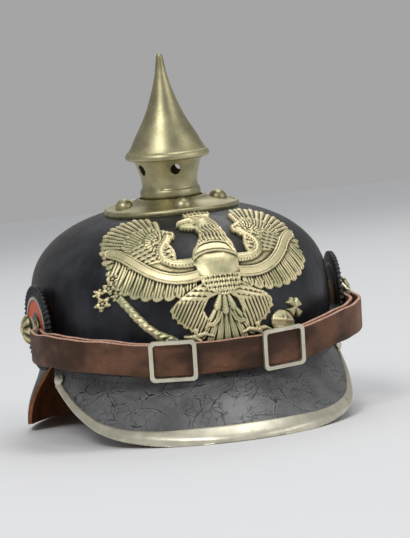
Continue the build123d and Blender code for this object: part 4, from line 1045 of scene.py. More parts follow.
def trim_stud_shapes():
    """Points and faces of the two studs at the trim's ends."""
    y, level = TRIM_STUD_PLACE
    turn = math.acos(-y / visor_half(level)[1])
    studs = []
    for side in (-1, 1):
        foot, face = visor_place(side * turn, level), visor_place(side * turn, level, TRIM_SHEET)
        studs.append(stud_dome(face, face - foot, TRIM_STUD_RADIUS, TRIM_STUD_RISE))
    return joined(studs)


# Cockades: stamped discs that lie along the skull's side
COCKADE_RADIUS = 26.4
COCKADE_TEETH = 48
COCKADE_LIFT = 1.0
COCKADE_TURN = math.radians(5.5)
COCKADE_REACH = 93.8
# Heights of what is stamped into a cockade, and the distances from its middle between which each sets in
COCKADE_PLATE = 1.3
RIM_DROP = 0.9
RIM_DROP_SETS_IN = (24.8, 26.4)
TEETH_SET_IN = (19.8, 20.8)
NOTCH_SHARE = 0.024
NOTCHES_SET_IN = (23.0, 26.0)
RING_RISE = 1.2
RING_MIDDLE = 18.7
RING_HALF_WIDTH = 0.9
FIELD_DROP = 0.45
FIELD_SETS_IN = (18.0, 17.2)
RIB_RISE = 0.12
RIBS_SET_IN = (10.5, 12.0)
RIBS_END = 17.5
HUB_RISE = 0.5
HUB_SETS_IN = (10.8, 9.6)


def cockade_shape(side):
    """Points and faces of one cockade: teeth round its rim, a raised ring, a ribbed field and a hub."""

    def rise(turn, reach):
        teeth = np.cos(turn * COCKADE_TEETH) * smooth(*TEETH_SET_IN, reach)
        rim = COCKADE_PLATE - RIM_DROP * smooth(*RIM_DROP_SETS_IN, reach)
        ring = RING_RISE * ridge(reach - RING_MIDDLE, RING_HALF_WIDTH)
        ribs = RIB_RISE * np.cos(turn * COCKADE_TEETH) * smooth(*RIBS_SET_IN, reach) * (reach < RIBS_END)
        field = ribs - FIELD_DROP * smooth(*FIELD_SETS_IN, reach)
        hub = HUB_RISE * smooth(*HUB_SETS_IN, reach)
        return COCKADE_LIFT + rim + teeth + ring + field + hub

    def edge(turn, reach):
        return 1 - NOTCH_SHARE * (1 - np.cos(turn * COCKADE_TEETH)) * smooth(*NOTCHES_SET_IN, reach)

    radii = np.concatenate([[2.6, 6.0], np.arange(9.2, COCKADE_RADIUS, 0.55), [COCKADE_RADIUS]])
    points, faces = polar_disc(radii, COCKADE_TEETH * 8, rise, edge)
    return set_on_side(points, side, COCKADE_REACH, COCKADE_TURN), faces


def set_on_side(points, side, reach, turn):
    """Points (across, up, out) of a disc, set on the side of the helmet and turned a little to the front."""
    across, up, out = points.T
    c, s = math.cos(turn), math.sin(turn)
    x = side * (reach + out * c + across * s)
    y = COCKADE_MIDDLE[1] - out * s + across * c
    return grid_of(x, y, COCKADE_MIDDLE[2] + up)


# Rosettes on the heads of the lugs, with grooves between their petals and a button in the middle
ROSETTE_RADIUS = 9.0
ROSETTE_REACH = 101.3
ROSETTE_RISE = 4.4
ROSETTE_PETALS = 8
GROOVE_DEPTH = 1.9
GROOVES_SET_IN = (2.6, 4.2)
GROOVE_POWER = 0.5
VEIN_RISE = 0.3
VEIN_POWER = 14
VEIN_STARTS = (3.5, 5.0)
VEIN_ENDS = (8.6, 7.0)
BUTTON_RISE = 0.7
BUTTON_EDGE = (2.7, 2.2)
BUTTON_GROOVE = 3.0
BUTTON_GROOVE_DEPTH = 0.6
BUTTON_GROOVE_HALF = 0.4
# Share of the rosette's dome that is left out at its rim, and how deep its outline is notched
ROSETTE_FALL = 0.92
NOTCH_DEPTH = 0.14
NOTCH_POWER = 0.6
NOTCH_SETS_IN = (4.0, 8.5)
# Tarnish of a rosette: all over, and in the grooves between its petals and round its button, where it is
# partly painted shade
PLAIN_TARNISH = 0.22
GROOVE_TARNISH_AND_SHADE = 0.75
GROOVE_TARNISH_AND_SHADE_POWER = 0.7
BUTTON_TARNISH_AND_SHADE = 0.5
BUTTON_TARNISH_AND_SHADE_HALF = 0.5
# Least height of a rosette over its back
ROSETTE_LEAST = 0.2
# Stem of the lug under the rosette, as (radius, distance from the helmet's middle) places
STEM_PROFILE = (
    (2.4, 83.8), (2.4, 93.1), (4.0, 93.2), (4.0, 95.7), (6.4, 95.8), (6.4, 96.6), (4.0, 96.7),
    (4.0, 101.8),
)
STEM_SIDES = 40
STEM_HOLLOW = 0.4


def lug_shape(side):
    """Points and faces of one lug with its rosette of round petals, and how hollow each point lies."""

    def rise(turn, reach):
        share = reach / ROSETTE_RADIUS
        dome = ROSETTE_RISE * np.sqrt(np.clip(1 - ROSETTE_FALL * share**2, 0, 1))
        petal = np.abs(np.cos(turn * ROSETTE_PETALS / 2))
        grooves = GROOVE_DEPTH * (petal**GROOVE_POWER - 1) * smooth(*GROOVES_SET_IN, reach)
        vein = VEIN_RISE * petal**VEIN_POWER * smooth(*VEIN_STARTS, reach) * smooth(*VEIN_ENDS, reach)
        ditch = BUTTON_GROOVE_DEPTH * ridge(reach - BUTTON_GROOVE, BUTTON_GROOVE_HALF)
        button = BUTTON_RISE * smooth(*BUTTON_EDGE, reach) - ditch
        return np.maximum(dome + grooves + vein + button, ROSETTE_LEAST)

    def edge(turn, reach):
        petal = np.abs(np.cos(turn * ROSETTE_PETALS / 2))
        return 1 - NOTCH_DEPTH * (1 - petal**NOTCH_POWER) * smooth(*NOTCH_SETS_IN, reach)

    head, head_faces = polar_disc(np.linspace(0.05, ROSETTE_RADIUS, 26), 160, rise, edge)
    across, up, _ = head.T
    reach = np.hypot(across, up)
    petal = np.abs(np.cos(np.arctan2(up, across) * ROSETTE_PETALS / 2))
    # Darker in the grooves and round the button: partly tarnish, partly painted shade
    groove = GROOVE_TARNISH_AND_SHADE * (1 - petal**GROOVE_TARNISH_AND_SHADE_POWER) * smooth(*GROOVES_SET_IN, reach)
    ditch = BUTTON_TARNISH_AND_SHADE * ridge(reach - BUTTON_GROOVE, BUTTON_TARNISH_AND_SHADE_HALF)
    hollow = PLAIN_TARNISH + groove + ditch
    radii, places = np.array(STEM_PROFILE).T[:, :, None]
    turn = full_turn(STEM_SIDES)[None, :]
    stem = grid_of(radii * np.cos(turn), radii * np.sin(turn), places - ROSETTE_REACH)
    points, faces = joined([(head, head_faces), (stem, tube_faces(*stem.shape[:2]))])
    hollow = np.concatenate([hollow, np.full(stem.size // 3, STEM_HOLLOW)])
    return set_on_side(points, side, ROSETTE_REACH, 0.0), faces, hollow


# Stitches along the joint of the front visor
STITCH_LEVEL = 28.2
STITCH_END_ANGLE = math.radians(63)
STITCH_LENGTH = 2.5
STITCH_RADIUS = 0.45
STITCH_SIDES = 8
# Sections of a stitch, as shares of its half length and of its radius
STITCH_SECTIONS = (
    (-1.0, 0.15), (-0.8, 0.7), (-0.4, 0.95), (0.0, 1.0), (0.4, 0.95), (0.8, 0.7), (1.0, 0.15),
)
# How far a stitch's middle stands off the leather, and how far its ends dip into it
STITCH_LIFT = 0.12
STITCH_DIP = 0.35


def stitch_shapes(look):
    """Points and faces of the thread stitches on the front visor."""
    half_x, half_y = visor_half(STITCH_LEVEL)
    fine = np.linspace(-STITCH_END_ANGLE, STITCH_END_ANGLE, 2000)
    seam = on_oval(half_x, half_y, fine, 0.0)
    travel = np.concatenate([[0], np.cumsum(np.linalg.norm(np.diff(seam, axis=0), axis=1))])
    around = full_turn(STITCH_SIDES)
    stations, radii = np.array(STITCH_SECTIONS).T[:, :, None, None]
    parts = []
    for place in np.arange(0, travel[-1], look.stitch_pitch / MM):
        angle = np.interp(place, travel, fine)
        ahead = np.array([half_x * math.cos(angle), half_y * math.sin(angle), 0.0])
        ahead /= np.linalg.norm(ahead)
        foot, lifted = visor_place(angle, STITCH_LEVEL), visor_place(angle, STITCH_LEVEL, 1.0)
        outward = lifted - foot
        side = np.cross(outward, ahead)
        rings = foot + STITCH_LIFT * outward + stations * STITCH_LENGTH / 2 * ahead
        round_part = np.cos(around)[:, None] * outward + np.sin(around)[:, None] * side
        points = rings + STITCH_RADIUS * radii * round_part - STITCH_DIP * stations**2 * outward
        parts.append((points, tube_faces(*points.shape[:2])))
    return joined(parts)


# Eagle plate: a height field over a plane that leans with the dome, in millimetres
EAGLE_CENTRE = np.array([0.0, -105.0, 85.0])
EAGLE_LEAN = math.radians(25)
EAGLE_FIELD = ((-74.0, 67.0), (-41.0, 60.0))
EAGLE_GAP = 0.3
EAGLE_DRAWN_GAP = 2.0
EAGLE_FOOT = -1.4
# Least height over the foot at which a place belongs to the eagle
RAISED_LEAST = 0.15

WING_CENTRE = (28.0, 24.0)
# Half sizes of the ovals that fill the wing under its feathers and hold its scales
WING_FILL = (17.0, 26.0)
WING_SCALES = (13.0, 14.0)
WING_LONG_TIPS = (
    (23.5, 53.0), (26.5, 57.6), (30.0, 58.2), (33.5, 59.6), (37.5, 58.2), (41.5, 58.8), (45.0, 56.4),
    (48.6, 55.6), (51.6, 52.4), (54.8, 50.2), (56.4, 46.6), (58.8, 43.8), (59.4, 39.8), (61.4, 36.2),
    (60.8, 31.8), (62.2, 27.6), (61.0, 23.0), (62.0, 18.6), (60.2, 14.8),
)
WING_BROAD_TIPS = (
    (60.4, 10.6), (58.0, 6.0), (54.8, 1.6), (50.2, -2.2), (44.6, -5.2), (38.4, -7.2), (31.8, -8.4),
    (25.2, -8.2), (18.8, -6.6),
)
ARM_FILL = (
    (9.0, 5.0), (20.0, 4.5), (30.0, 7.0), (37.0, 11.0), (41.0, 16.0), (37.0, 17.5), (32.0, 17.0),
    (27.0, 13.0), (20.0, 11.0), (9.0, 12.0),
)
RIBBON_MIDDLE = (
    (10.0, 3.7), (15.0, 3.0), (20.0, 2.9), (25.0, 3.6), (29.6, 5.2), (34.4, 7.9), (38.8, 11.6),
    (42.6, 15.8), (45.8, 20.2), (48.8, 24.8), (51.8, 28.6), (55.4, 31.6),
)
ARM_MIDDLE = (
    (12.0, 12.6), (17.0, 12.6), (21.6, 13.2), (25.4, 14.8), (28.4, 17.6), (29.8, 21.4), (29.0, 25.2),
    (26.6, 28.6), (23.8, 31.6), (21.8, 35.2),
)
ARM_WIDTH = 6.6
CURL_MIDDLE = (
    (20.4, 36.2), (23.2, 38.4), (26.8, 39.0), (30.6, 37.8), (33.4, 35.0), (34.6, 31.2), (33.6, 27.6),
    (30.8, 25.8),
)
TORSO = (
    (-13.4, 15.0), (-12.6, 9.0), (-11.8, 3.0), (-11.4, -2.0), (-8.0, -6.5), (-3.0, -9.4), (1.0, -10.4),
    (6.0, -9.4), (11.0, -6.0), (12.6, -1.0), (13.2, 7.0), (14.0, 13.5), (7.0, 19.0), (-7.0, 19.0),
)
COLLAR_TOP = (
    (-13.4, 15.6), (-11.6, 20.2), (-8.4, 23.4), (-4.3, 25.1), (0.6, 25.8), (6.0, 25.4), (10.5, 23.4),
    (14.2, 17.0),
)
COLLAR_LOW = (
    (13.6, 12.8), (9.8, 15.4), (5.0, 17.0), (0.4, 17.4), (-4.6, 17.0), (-9.2, 15.4), (-12.8, 12.8),
)
NECK = (
    (-10.6, 20.0), (-8.6, 24.4), (-6.2, 28.0), (-4.2, 31.7), (-3.8, 35.2), (-4.8, 38.6), (-4.2, 42.0),
    (-3.6, 47.6), (-1.0, 50.0), (4.8, 49.6), (8.6, 46.8), (10.6, 42.0), (11.4, 36.0), (12.4, 28.0),
    (14.4, 19.0),
)
BEAK_UPPER = (
    (-2.6, 49.2), (-8.0, 48.0), (-12.4, 46.2), (-14.2, 43.4), (-12.2, 44.2), (-7.0, 44.8), (-2.6, 45.2),
)
BEAK_LOWER = ((-3.4, 43.7), (-9.0, 43.3), (-12.8, 42.4), (-12.6, 40.9), (-8.4, 39.2), (-4.0, 38.2))
CROWN = (
    (-2.8, 49.6), (-6.2, 52.4), (-5.6, 54.6), (-3.4, 54.0), (-2.2, 55.6), (0.2, 54.4), (1.8, 55.9),
    (3.6, 54.6), (6.2, 55.9), (7.6, 54.2), (10.2, 55.0), (11.6, 52.6), (8.8, 48.4),
)
EYE = (2.2, 45.3)
THIGH_RIGHT = (
    (-9.5, -1.0), (-14.8, -2.8), (-19.9, -5.6), (-24.8, -8.2), (-29.4, -11.4), (-31.8, -14.2),
    (-30.6, -16.0), (-31.0, -18.6), (-28.4, -19.6), (-28.2, -22.2), (-25.4, -23.0), (-24.6, -25.6),
    (-21.8, -26.0), (-20.6, -28.4), (-17.6, -27.8), (-15.2, -29.6), (-13.4, -27.6), (-10.9, -26.5),
    (-9.7, -22.4), (-12.0, -17.1), (-8.4, -11.3), (-2.5, -9.5),
)
THIGH_LEFT = (
    (10.5, -1.0), (15.6, -4.6), (20.8, -7.6), (25.4, -8.8), (28.7, -10.9), (31.6, -13.6), (30.8, -15.6),
    (31.8, -18.0), (29.4, -19.2), (29.6, -21.8), (26.8, -22.8), (26.0, -25.6), (23.2, -25.6),
    (21.8, -28.0), (19.3, -27.4), (16.4, -28.8), (13.9, -27.0), (11.5, -24.0), (10.9, -17.4),
    (8.5, -12.8), (3.5, -9.5),
)
CLAWS = (
    ((-17.6, -27.5), (-18.6, -32.0)),
    ((-18.0, -30.5), (-12.5, -29.8), (-8.4, -31.6)),
    ((-18.6, -31.0), (-24.4, -29.6)),
    ((-18.4, -31.0), (-14.5, -34.6)),
    ((19.8, -27.5), (20.6, -31.4)),
    ((20.0, -30.4), (25.0, -29.4), (31.0, -31.6)),
    ((20.4, -30.8), (14.6, -29.8), (10.6, -31.4)),
    ((20.6, -31.0), (24.0, -34.6)),
)
TAIL_PLUMES = (
    ((-1.8, -13.0), (-2.6, -19.0), (-4.6, -23.4), (-7.2, -25.6), (-10.0, -25.4)),
    ((3.2, -13.0), (4.6, -19.4), (6.8, -23.6), (9.6, -25.2), (12.8, -24.4)),
)
TAIL_TIPS = (
    (-15.8, -33.0), (-10.8, -36.8), (-5.0, -38.6), (1.0, -39.2), (7.0, -38.4), (12.8, -36.6),
    (18.0, -33.0),
)
TAIL_ROOT = (0.7, -6.0)
TAIL_LEAVES = ((-5.0, -18.6), (6.2, -19.2), (0.6, -21.5))
ORB_CENTRE = (38.0, -26.6)
ORB_RADIUS = 8.0
ORB_CROSS_PLACE = (47.6, -17.6)
ORB_CROSS_HALF = 5.4
SCEPTRE_SHAFT = (
    (-31.0, -32.0), (-35.0, -28.8), (-39.8, -24.6), (-45.0, -19.2), (-49.4, -13.0), (-53.2, -6.4),
    (-57.4, 1.4),
)
# Flowers of the sceptre's head, as (across, up, radius)
SCEPTRE_FLOWERS = (
    (-66.0, 1.6, 4.6), (-61.6, 9.4, 4.4), (-58.6, 14.6, 3.6), (-67.4, 8.6, 3.0), (-58.4, 3.0, 3.4),
)


# Kinds of feathers and bands, by the names that Relief.feather and Relief.band give their sizes
LONG_FEATHER = {"width": 4.3, "base": 0.75, "crown": 0.75, "point": 0.9, "barb": 1.5}
BROAD_FEATHER = {"width": 8.2, "base": 0.8, "crown": 0.8, "point": 0.5, "barb": 1.75, "along_barbs": True}
SHORT_FEATHER = {"width": 4.6, "base": 1.35, "crown": 0.7, "point": 0.7, "barb": 1.5}
TAIL_FEATHER = {"width": 5.0, "base": 0.9, "crown": 0.8, "point": 0.6, "barb": 1.6, "along_barbs": True}
TAIL_LEAF = {"width": 5.0, "base": 1.9, "crown": 0.7, "point": 0.8, "barb": 1.6}
CURL = {"width": 6.4, "base": 1.9, "taper": 0.6, "pitch": 1.9}
ARM = {"width": ARM_WIDTH, "base": 2.1, "taper": 0.8, "pitch": 1.8, "lean": 0.4}
ARM_CORE = {"width": ARM_WIDTH * 0.52, "base": 2.5, "taper": 0.8}
RIBBON = {"width": 7.0, "base": 2.4, "rim": 0.25}
TAIL_PLUME = {"width": 4.0, "base": 1.8, "taper": 0.6, "rim": 0.2}
CLAW = {"width": 3.4, "base": 2.2, "taper": 0.5}


class Relief:
    """Height field that pressed shapes are raised on; outside them it stays at its foot."""

    def __init__(self, step):
        (left, right), (low, high) = EAGLE_FIELD
        columns = np.arange(left, right, step)
        rows = np.arange(low, high, step)
        self.u, self.v = np.meshgrid(columns, rows, indexing="ij")
        self.height = np.full(self.u.shape, EAGLE_FOOT)

    def lay(self, inside, height, edge=0.35):
        """Lays a shape over the field where `inside`, a distance from the shape's edge, is above zero."""
        share = smooth(-0.1, edge, inside)
        self.height = self.height * (1 - share) + height * share

    def rows_of(self, start, end):
        """Share along a line, distance along it and signed distance from it, for every place."""
        start, end = np.array(start), np.array(end)
        span = math.hypot(*(end - start))
        ahead = (end - start) / span
        along = (self.u - start[0]) * ahead[0] + (self.v - start[1]) * ahead[1]
        across = -(self.u - start[0]) * ahead[1] + (self.v - start[1]) * ahead[0]
        return along / span, along, across

    def feather(self, root, tip, width, base, crown, point, barb, along_barbs=False):
        """Feather with a quill and barbs.

        `base` is the height of its edge and `crown` its swelling above that. `point` is 0.5 for a round tip
        and more for a sharp one, and `barb` is the spacing of its barbs.
        """
        share, along, across = self.rows_of(root, tip)
        tip_start = 1 - 0.55 * width / max(math.hypot(*(np.array(tip) - root)), width)
        swell = 0.65 + 0.35 * np.clip(share / tip_start, 0, 1)
        tip_round = np.clip(1 - (np.clip(share - tip_start, 0, None) / (1 - tip_start)) ** 2, 0, 1) ** point
        half = width / 2 * swell * tip_round
        half = np.where((share < 0) | (share > 1), -0.5, half)
        inside = half - np.abs(across)
        quill = 0.35 * ridge(across, 0.3) * (share < 0.88)
        phase = across if along_barbs else along - 1.2 * np.abs(across)
        barbs = 0.24 * waves(phase, barb) * smooth(0.35, 0.8, np.abs(across))
        self.lay(inside, base + crown * smooth(0, 1.3, inside) + quill + barbs)

    def along_band(self, middle):
        """Distance along and from a row of places, and the row's length."""
        nearest = np.full(self.u.shape, 1e9)
        travel = np.zeros(self.u.shape)
        done = 0.0
        for start, end in zip(middle, middle[1:]):
            step = math.hypot(end[0] - start[0], end[1] - start[1])
            _, along, across = self.rows_of(start, end)
            reach = np.clip(along, 0, step)
            distance = np.hypot(along - reach, across)
            closer = distance < nearest
            nearest = np.where(closer, distance, nearest)
            travel = np.where(closer, done + reach, travel)
            done += step
        return travel, nearest, done

    def band(self, middle, width, base, taper=1.0, pitch=0.0, lean=0.0, rim=0.0):
        """Band along a row of places, with cross ribs of one pitch and raised rims.

        `taper` is the share of its width that is left at its end, and `lean` slants the ribs.
        """
        travel, nearest, done = self.along_band(middle)
        half = width / 2 * (1 + (taper - 1) * travel / done)
        inside = half - nearest
        shape = base + 0.5 * smooth(0, 1.1, inside)
        if pitch:
            shape = shape + 0.3 * waves(travel + lean * nearest, pitch) * smooth(0.1, 0.7, inside)
        if rim:
            shape = shape + rim * ridge(inside - 0.6, 0.4) - 0.45 * ridge(inside - 1.35, 0.35)
        self.lay(inside, shape)

    def distance_inside(self, outline):
        """Distance from an outline, above zero inside it."""
        outline = np.array(outline)
        nearest = np.full(self.u.shape, 1e9)
        crossings = np.zeros(self.u.shape, dtype=bool)
        for start, end in zip(outline, np.roll(outline, -1, axis=0)):
            ahead = end - start
            share = ((self.u - start[0]) * ahead[0] + (self.v - start[1]) * ahead[1]) / (ahead @ ahead)
            share = np.clip(share, 0, 1)
            distance = np.hypot(self.u - start[0] - share * ahead[0], self.v - start[1] - share * ahead[1])
            nearest = np.minimum(nearest, distance)
            if start[1] != end[1]:
                level = (start[1] > self.v) != (end[1] > self.v)
                crossing = start[0] + (self.v - start[1]) / (end[1] - start[1]) * ahead[0]
                crossings ^= level & (self.u < crossing)
        return np.where(crossings, nearest, -nearest)

    def scales(self, size, lean=0.0):
        """Small overlapping scale feathers, as a height of up to one."""
        row = (self.v + lean * self.u) / size
        index = np.floor(row)
        shift = 0.5 * (index % 2)
        across = (self.u / size + shift) % 1 - 0.5
        drop = row - index
        edge = drop - (0.45 - 1.6 * across**2)
        return np.clip(0.35 + 0.65 * smooth(-0.12, 0.12, edge) - 0.4 * np.clip(edge, 0, 1), 0, 1)


def mirrored(places, side):
    """Places with their first number turned to the other side where `side` is -1."""
    return [(side * place[0], place[1]) for place in places]


def wing(r, side):
    """One wing: long feathers, broad ones below, short ones over both, scales, arm, curl and ribbon."""
    centre = np.array(mirrored([WING_CENTRE], side)[0])
    half_width, half_height = WING_FILL
    fill = 1 - np.hypot((r.u - centre[0] - 13 * side) / half_width, (r.v - centre[1] + 1) / half_height)
    r.lay(fill * half_width, 0.5)
    for tip in reversed(mirrored(WING_LONG_TIPS, side)):
        root = centre + 0.25 * (np.array(tip) - centre)
        r.feather(root, tip, **LONG_FEATHER)
    for tip in mirrored(WING_BROAD_TIPS, side):
        root = (tip[0] * 0.83, tip[1] + 13.0 + 4.0 * abs(tip[0]) / 60)
        r.feather(root, tip, **BROAD_FEATHER)
    for count, tip in enumerate(reversed(mirrored(WING_LONG_TIPS, side))):
        reach = np.array(tip) - centre
        root, tip = centre + 0.1 * reach, centre + (0.68 - 0.06 * (count % 2)) * reach
        r.feather(root, tip, **SHORT_FEATHER)
    half_width, half_height = WING_SCALES
    inner = 1 - np.hypot((r.u - centre[0] - 6 * side) / half_width, (r.v - centre[1] + 2) / half_height)
    r.lay(inner * half_width, 1.5 + 0.8 * r.scales(3.2, 0.3 * side))
    r.lay(r.distance_inside(mirrored(ARM_FILL, side)), 1.7)
    r.band(mirrored(CURL_MIDDLE, side), **CURL)
    r.band(mirrored(ARM_MIDDLE, side), **ARM)
    r.band(mirrored(ARM_MIDDLE, side), **ARM_CORE)
    r.band(mirrored(RIBBON_MIDDLE, side), **RIBBON)


def legs_and_tail(r):
    """Tail, claws and feathered thighs."""
    for tip in TAIL_TIPS:
        root = (0.6 + tip[0] * 0.15, -14.0)
        r.feather(root, tip, **TAIL_FEATHER)
    for plume in TAIL_PLUMES:
        r.band(plume, **TAIL_PLUME)
    for tip in TAIL_LEAVES:
        r.feather(TAIL_ROOT, tip, **TAIL_LEAF)
    for outline, lean in ((THIGH_RIGHT, 0.62), (THIGH_LEFT, -0.35)):
        inside = r.distance_inside(outline)
        low = smooth(-12.5, -16.5, r.v + 0.25 * lean * r.u)
        strands = 0.42 * waves(r.u - lean * r.v, 2.3)
        texture = strands * low + 0.75 * r.scales(3.1, 0.2) * (1 - low)
        r.lay(inside, 1.9 + texture + 0.8 * smooth(0, 5, inside))
    for claw in CLAWS:
        r.band(claw, **CLAW)


def regalia(r):
    """Orb with its cross, and sceptre with its flowered head."""
    reach = ORB_RADIUS - np.hypot(r.u - ORB_CENTRE[0], (r.v - ORB_CENTRE[1]) * 1.15)
    bands = ridge(r.v - ORB_CENTRE[1] - 1.5, 0.7)
    bands += ridge(r.u - ORB_CENTRE[0] - 1.0, 0.7) * (r.v > ORB_CENTRE[1] + 1.5)
    r.lay(reach, 1.4 + 1.3 * np.sqrt(np.clip(reach / ORB_RADIUS, 0, 1)) + 0.4 * bands)
    u, v = r.u - ORB_CROSS_PLACE[0], r.v - ORB_CROSS_PLACE[1]
    along, across = np.abs(u + v) / math.sqrt(2), np.abs(u - v) / math.sqrt(2)
    far, near = np.maximum(along, across), np.minimum(along, across)
    arm = np.minimum(0.8 + 0.38 * far - near, ORB_CROSS_HALF - far)
    r.lay(arm, 1.7 + 0.4 * smooth(0, 1, arm))
    travel, nearest, done = r.along_band(SCEPTRE_SHAFT)
    half = 3.6 - 1.5 * smooth(0.0, 0.35, travel / done)
    inside = half - nearest
    twist = 0.35 * waves(travel + 1.1 * nearest, 4.0) + 0.25 * waves(travel, 9.5)
    r.lay(inside, 1.7 + twist + 0.7 * smooth(0, 2, inside))
    for u, v, radius in SCEPTRE_FLOWERS:
        reach = np.hypot(r.u - u, r.v - v)
        turn = np.arctan2(r.v - v, r.u - u)
        petals = radius * (0.8 + 0.2 * np.cos(turn * 5 + u)) - reach
        r.lay(petals, 1.5 + 0.5 * waves(reach, 2.4) + 0.3 * np.cos(turn * 5 + u))


def body(r):
    """Torso, neck, head, collar and crown."""
    torso = r.distance_inside(TORSO)
    belly = smooth(2.6, 1.2, r.v)
    rows = 0.7 * r.scales(3.0) + 0.2 * waves(r.u, 1.6)
    r.lay(torso, 2.7 + 1.1 * smooth(0, 7, torso) * (1 - 0.6 * belly) + rows * belly)
    neck = r.distance_inside(NECK)
    waved = r.u + 0.22 * r.v + 0.5 * np.sin(r.v * 0.75)
    strands = 0.38 * waves(waved, 2.2) * smooth(40, 36, r.v)
    tufts = 0.5 * r.scales(3.6, 0.1) * smooth(39, 35, r.v)
    crest = 0.32 * waves(r.v - 0.75 * r.u, 1.9) * smooth(35, 40, r.v) * smooth(3.0, 5.0, r.u)
    r.lay(neck, 2.6 + 1.1 * smooth(0, 5, neck) + strands + tufts + crest)
    brow = ridge(r.v - 46.9 - 0.12 * r.u, 0.55) * smooth(-3.5, -1.0, r.u) * smooth(7, 5, r.u)
    r.height += 0.4 * brow * (r.height > 2)
    collar = r.distance_inside(COLLAR_TOP + COLLAR_LOW)
    rim = 0.45 * ridge(collar - 0.8, 0.4) - 0.35 * ridge(collar - 1.7, 0.4)
    r.lay(collar, 3.3 + rim)
    for outline in (BEAK_UPPER, BEAK_LOWER):
        beak = r.distance_inside(outline)
        r.lay(beak, 2.7 + 1.0 * smooth(0, 2.0, beak))
    crown = r.distance_inside(CROWN)
    jewels = 0.45 * waves(r.u, 2.5) * smooth(51.0, 52.5, r.v)
    band = 0.5 * ridge(r.v - 0.05 * r.u - 50.4, 0.6)
    r.lay(crown, 2.2 + jewels + band)
    eye = np.hypot(r.u - EYE[0], (r.v - EYE[1]) * 1.3)
    r.height += 0.4 * ridge(eye - 1.4, 0.4) - 0.7 * ridge(eye, 0.7)


def eagle_relief(step):
    """All of the eagle's feathers, body and regalia on one height field."""
    r = Relief(step)
    wing(r, -1)
    wing(r, 1)
    legs_and_tail(r)
    regalia(r)
    body(r)
    return r


def blurred(field, reach):
    """Field averaged over squares of `reach` places each way."""
    for axis in (0, 1):
        margins = [(reach + 1, reach) if side == axis else (0, 0) for side in (0, 1)]
        padded = np.pad(field, margins, mode="edge")
        total = np.cumsum(padded, axis=axis)
        span = 2 * reach + 1
        first = np.take(total, np.arange(0, field.shape[axis]), axis=axis)
        last = np.take(total, np.arange(span, span + field.shape[axis]), axis=axis)
        field = (last - first) / span
    return field


def eagle_shape(look):
    """Points and faces of the eagle, and how hollow each point lies."""
    relief = eagle_relief(look.relief_step / MM)
    height = relief.height
    c, s = math.cos(EAGLE_LEAN), math.sin(EAGLE_LEAN)
    ahead = np.array([0.0, -c, s])
    upward = np.array([0.0, s, c])
    origins = EAGLE_CENTRE + relief.v[..., None] * upward
    origins[..., 0] += relief.u
    skull = on_dome(origins, ahead, EAGLE_DRAWN_GAP)
    points = skull + (height - EAGLE_DRAWN_GAP + EAGLE_GAP)[..., None] * dome_normal(skull, EAGLE_DRAWN_GAP)
    # Places below their surroundings are darkened by the brass finish, partly as tarnish and partly as
    # painted shade
    around = blurred(blurred(height, 3), 3)
    hollow = np.clip(0.30 + 1.9 * (around - height), 0, 1.3)
    raised = height > EAGLE_FOOT + RAISED_LEAST
    rows, columns = height.shape
    faces = grid_faces(rows, columns)
    faces = faces[raised.ravel()[faces].any(axis=1)]
    used, index = np.unique(faces, return_inverse=True)
    return points.reshape(-1, 3)[used], index.reshape(-1, 4), hollow.ravel()[used]


# Lamps as (place from the helmet's middle, size, share of the key lamp's power)
LAMPS = {
    "key_lamp": ((-1.5, -2.0, 2.3), 1.1, 1.0),
    "fill_lamp": ((2.2, -1.8, 1.1), 1.8, 0.35),
    "back_lamp": ((0.7, 2.0, 2.0), 1.4, 0.22),
    "top_lamp": ((0.55, 0.35, 2.5), 1.0, 0.34),
}
FLOOR_HALF = 6.0
FLOOR_GAP = 0.0002
FLOOR_GREY = 0.60
WORLD_LIGHT = (0.62, 0.63, 0.65)
WORLD_STRENGTH = 1.0
BACKGROUND_GREY = 0.375


def add_floor(level):
    """Plain pale floor that keeps the helmet's shadow."""
    paper = bpy.data.materials.new("floor_paper")
    Shader(paper).finish(base_color=grey(FLOOR_GREY), roughness=0.9)
    corners = [(FLOOR_HALF * x, FLOOR_HALF * y, 0) for x, y in ((-1, -1), (1, -1), (1, 1), (-1, 1))]
    mesh = bpy.data.meshes.new("floor")
    mesh.from_pydata(corners, [], [range(4)])
    mesh.materials.append(paper)
    floor = bpy.data.objects.new("floor", mesh)
    floor.location.z = level
    bpy.context.scene.collection.objects.link(floor)


def add_world():
    """Soft even light, with a pale background where the camera looks past the floor."""
    world = bpy.data.worlds.new("studio")
    bpy.context.scene.world = world
    s = Shader(world)
    light = s.node("ShaderNodeBackground", {}, {"Color": colour(*WORLD_LIGHT), "Strength": WORLD_STRENGTH})
    seen = s.node("ShaderNodeBackground", {}, {"Color": grey(BACKGROUND_GREY)})
    rays = ("Is Camera Ray", "Is Glossy Ray", "Is Transmission Ray")
    camera, glossy, through = (s.node("ShaderNodeLightPath", output=ray) for ray in rays)
    factor = (camera + glossy + through).clamped()
    s.end("ShaderNodeOutputWorld", s.node("ShaderNodeMixShader", {}, {0: factor, 1: light, 2: seen}))


def add_lamp(name, spot, size, power, target):
    """Round soft lamp, placed from a target that it faces."""
    data = bpy.data.lights.new(name, "AREA")
    data.shape = "DISK"
    data.size = size
    data.energy = power
    lamp = bpy.data.objects.new(name, data)
    lamp.location = target + Vector(spot)
    lamp.rotation_euler = (target - lamp.location).to_track_quat("-Z", "Y").to_euler()
    bpy.context.scene.collection.objects.link(lamp)


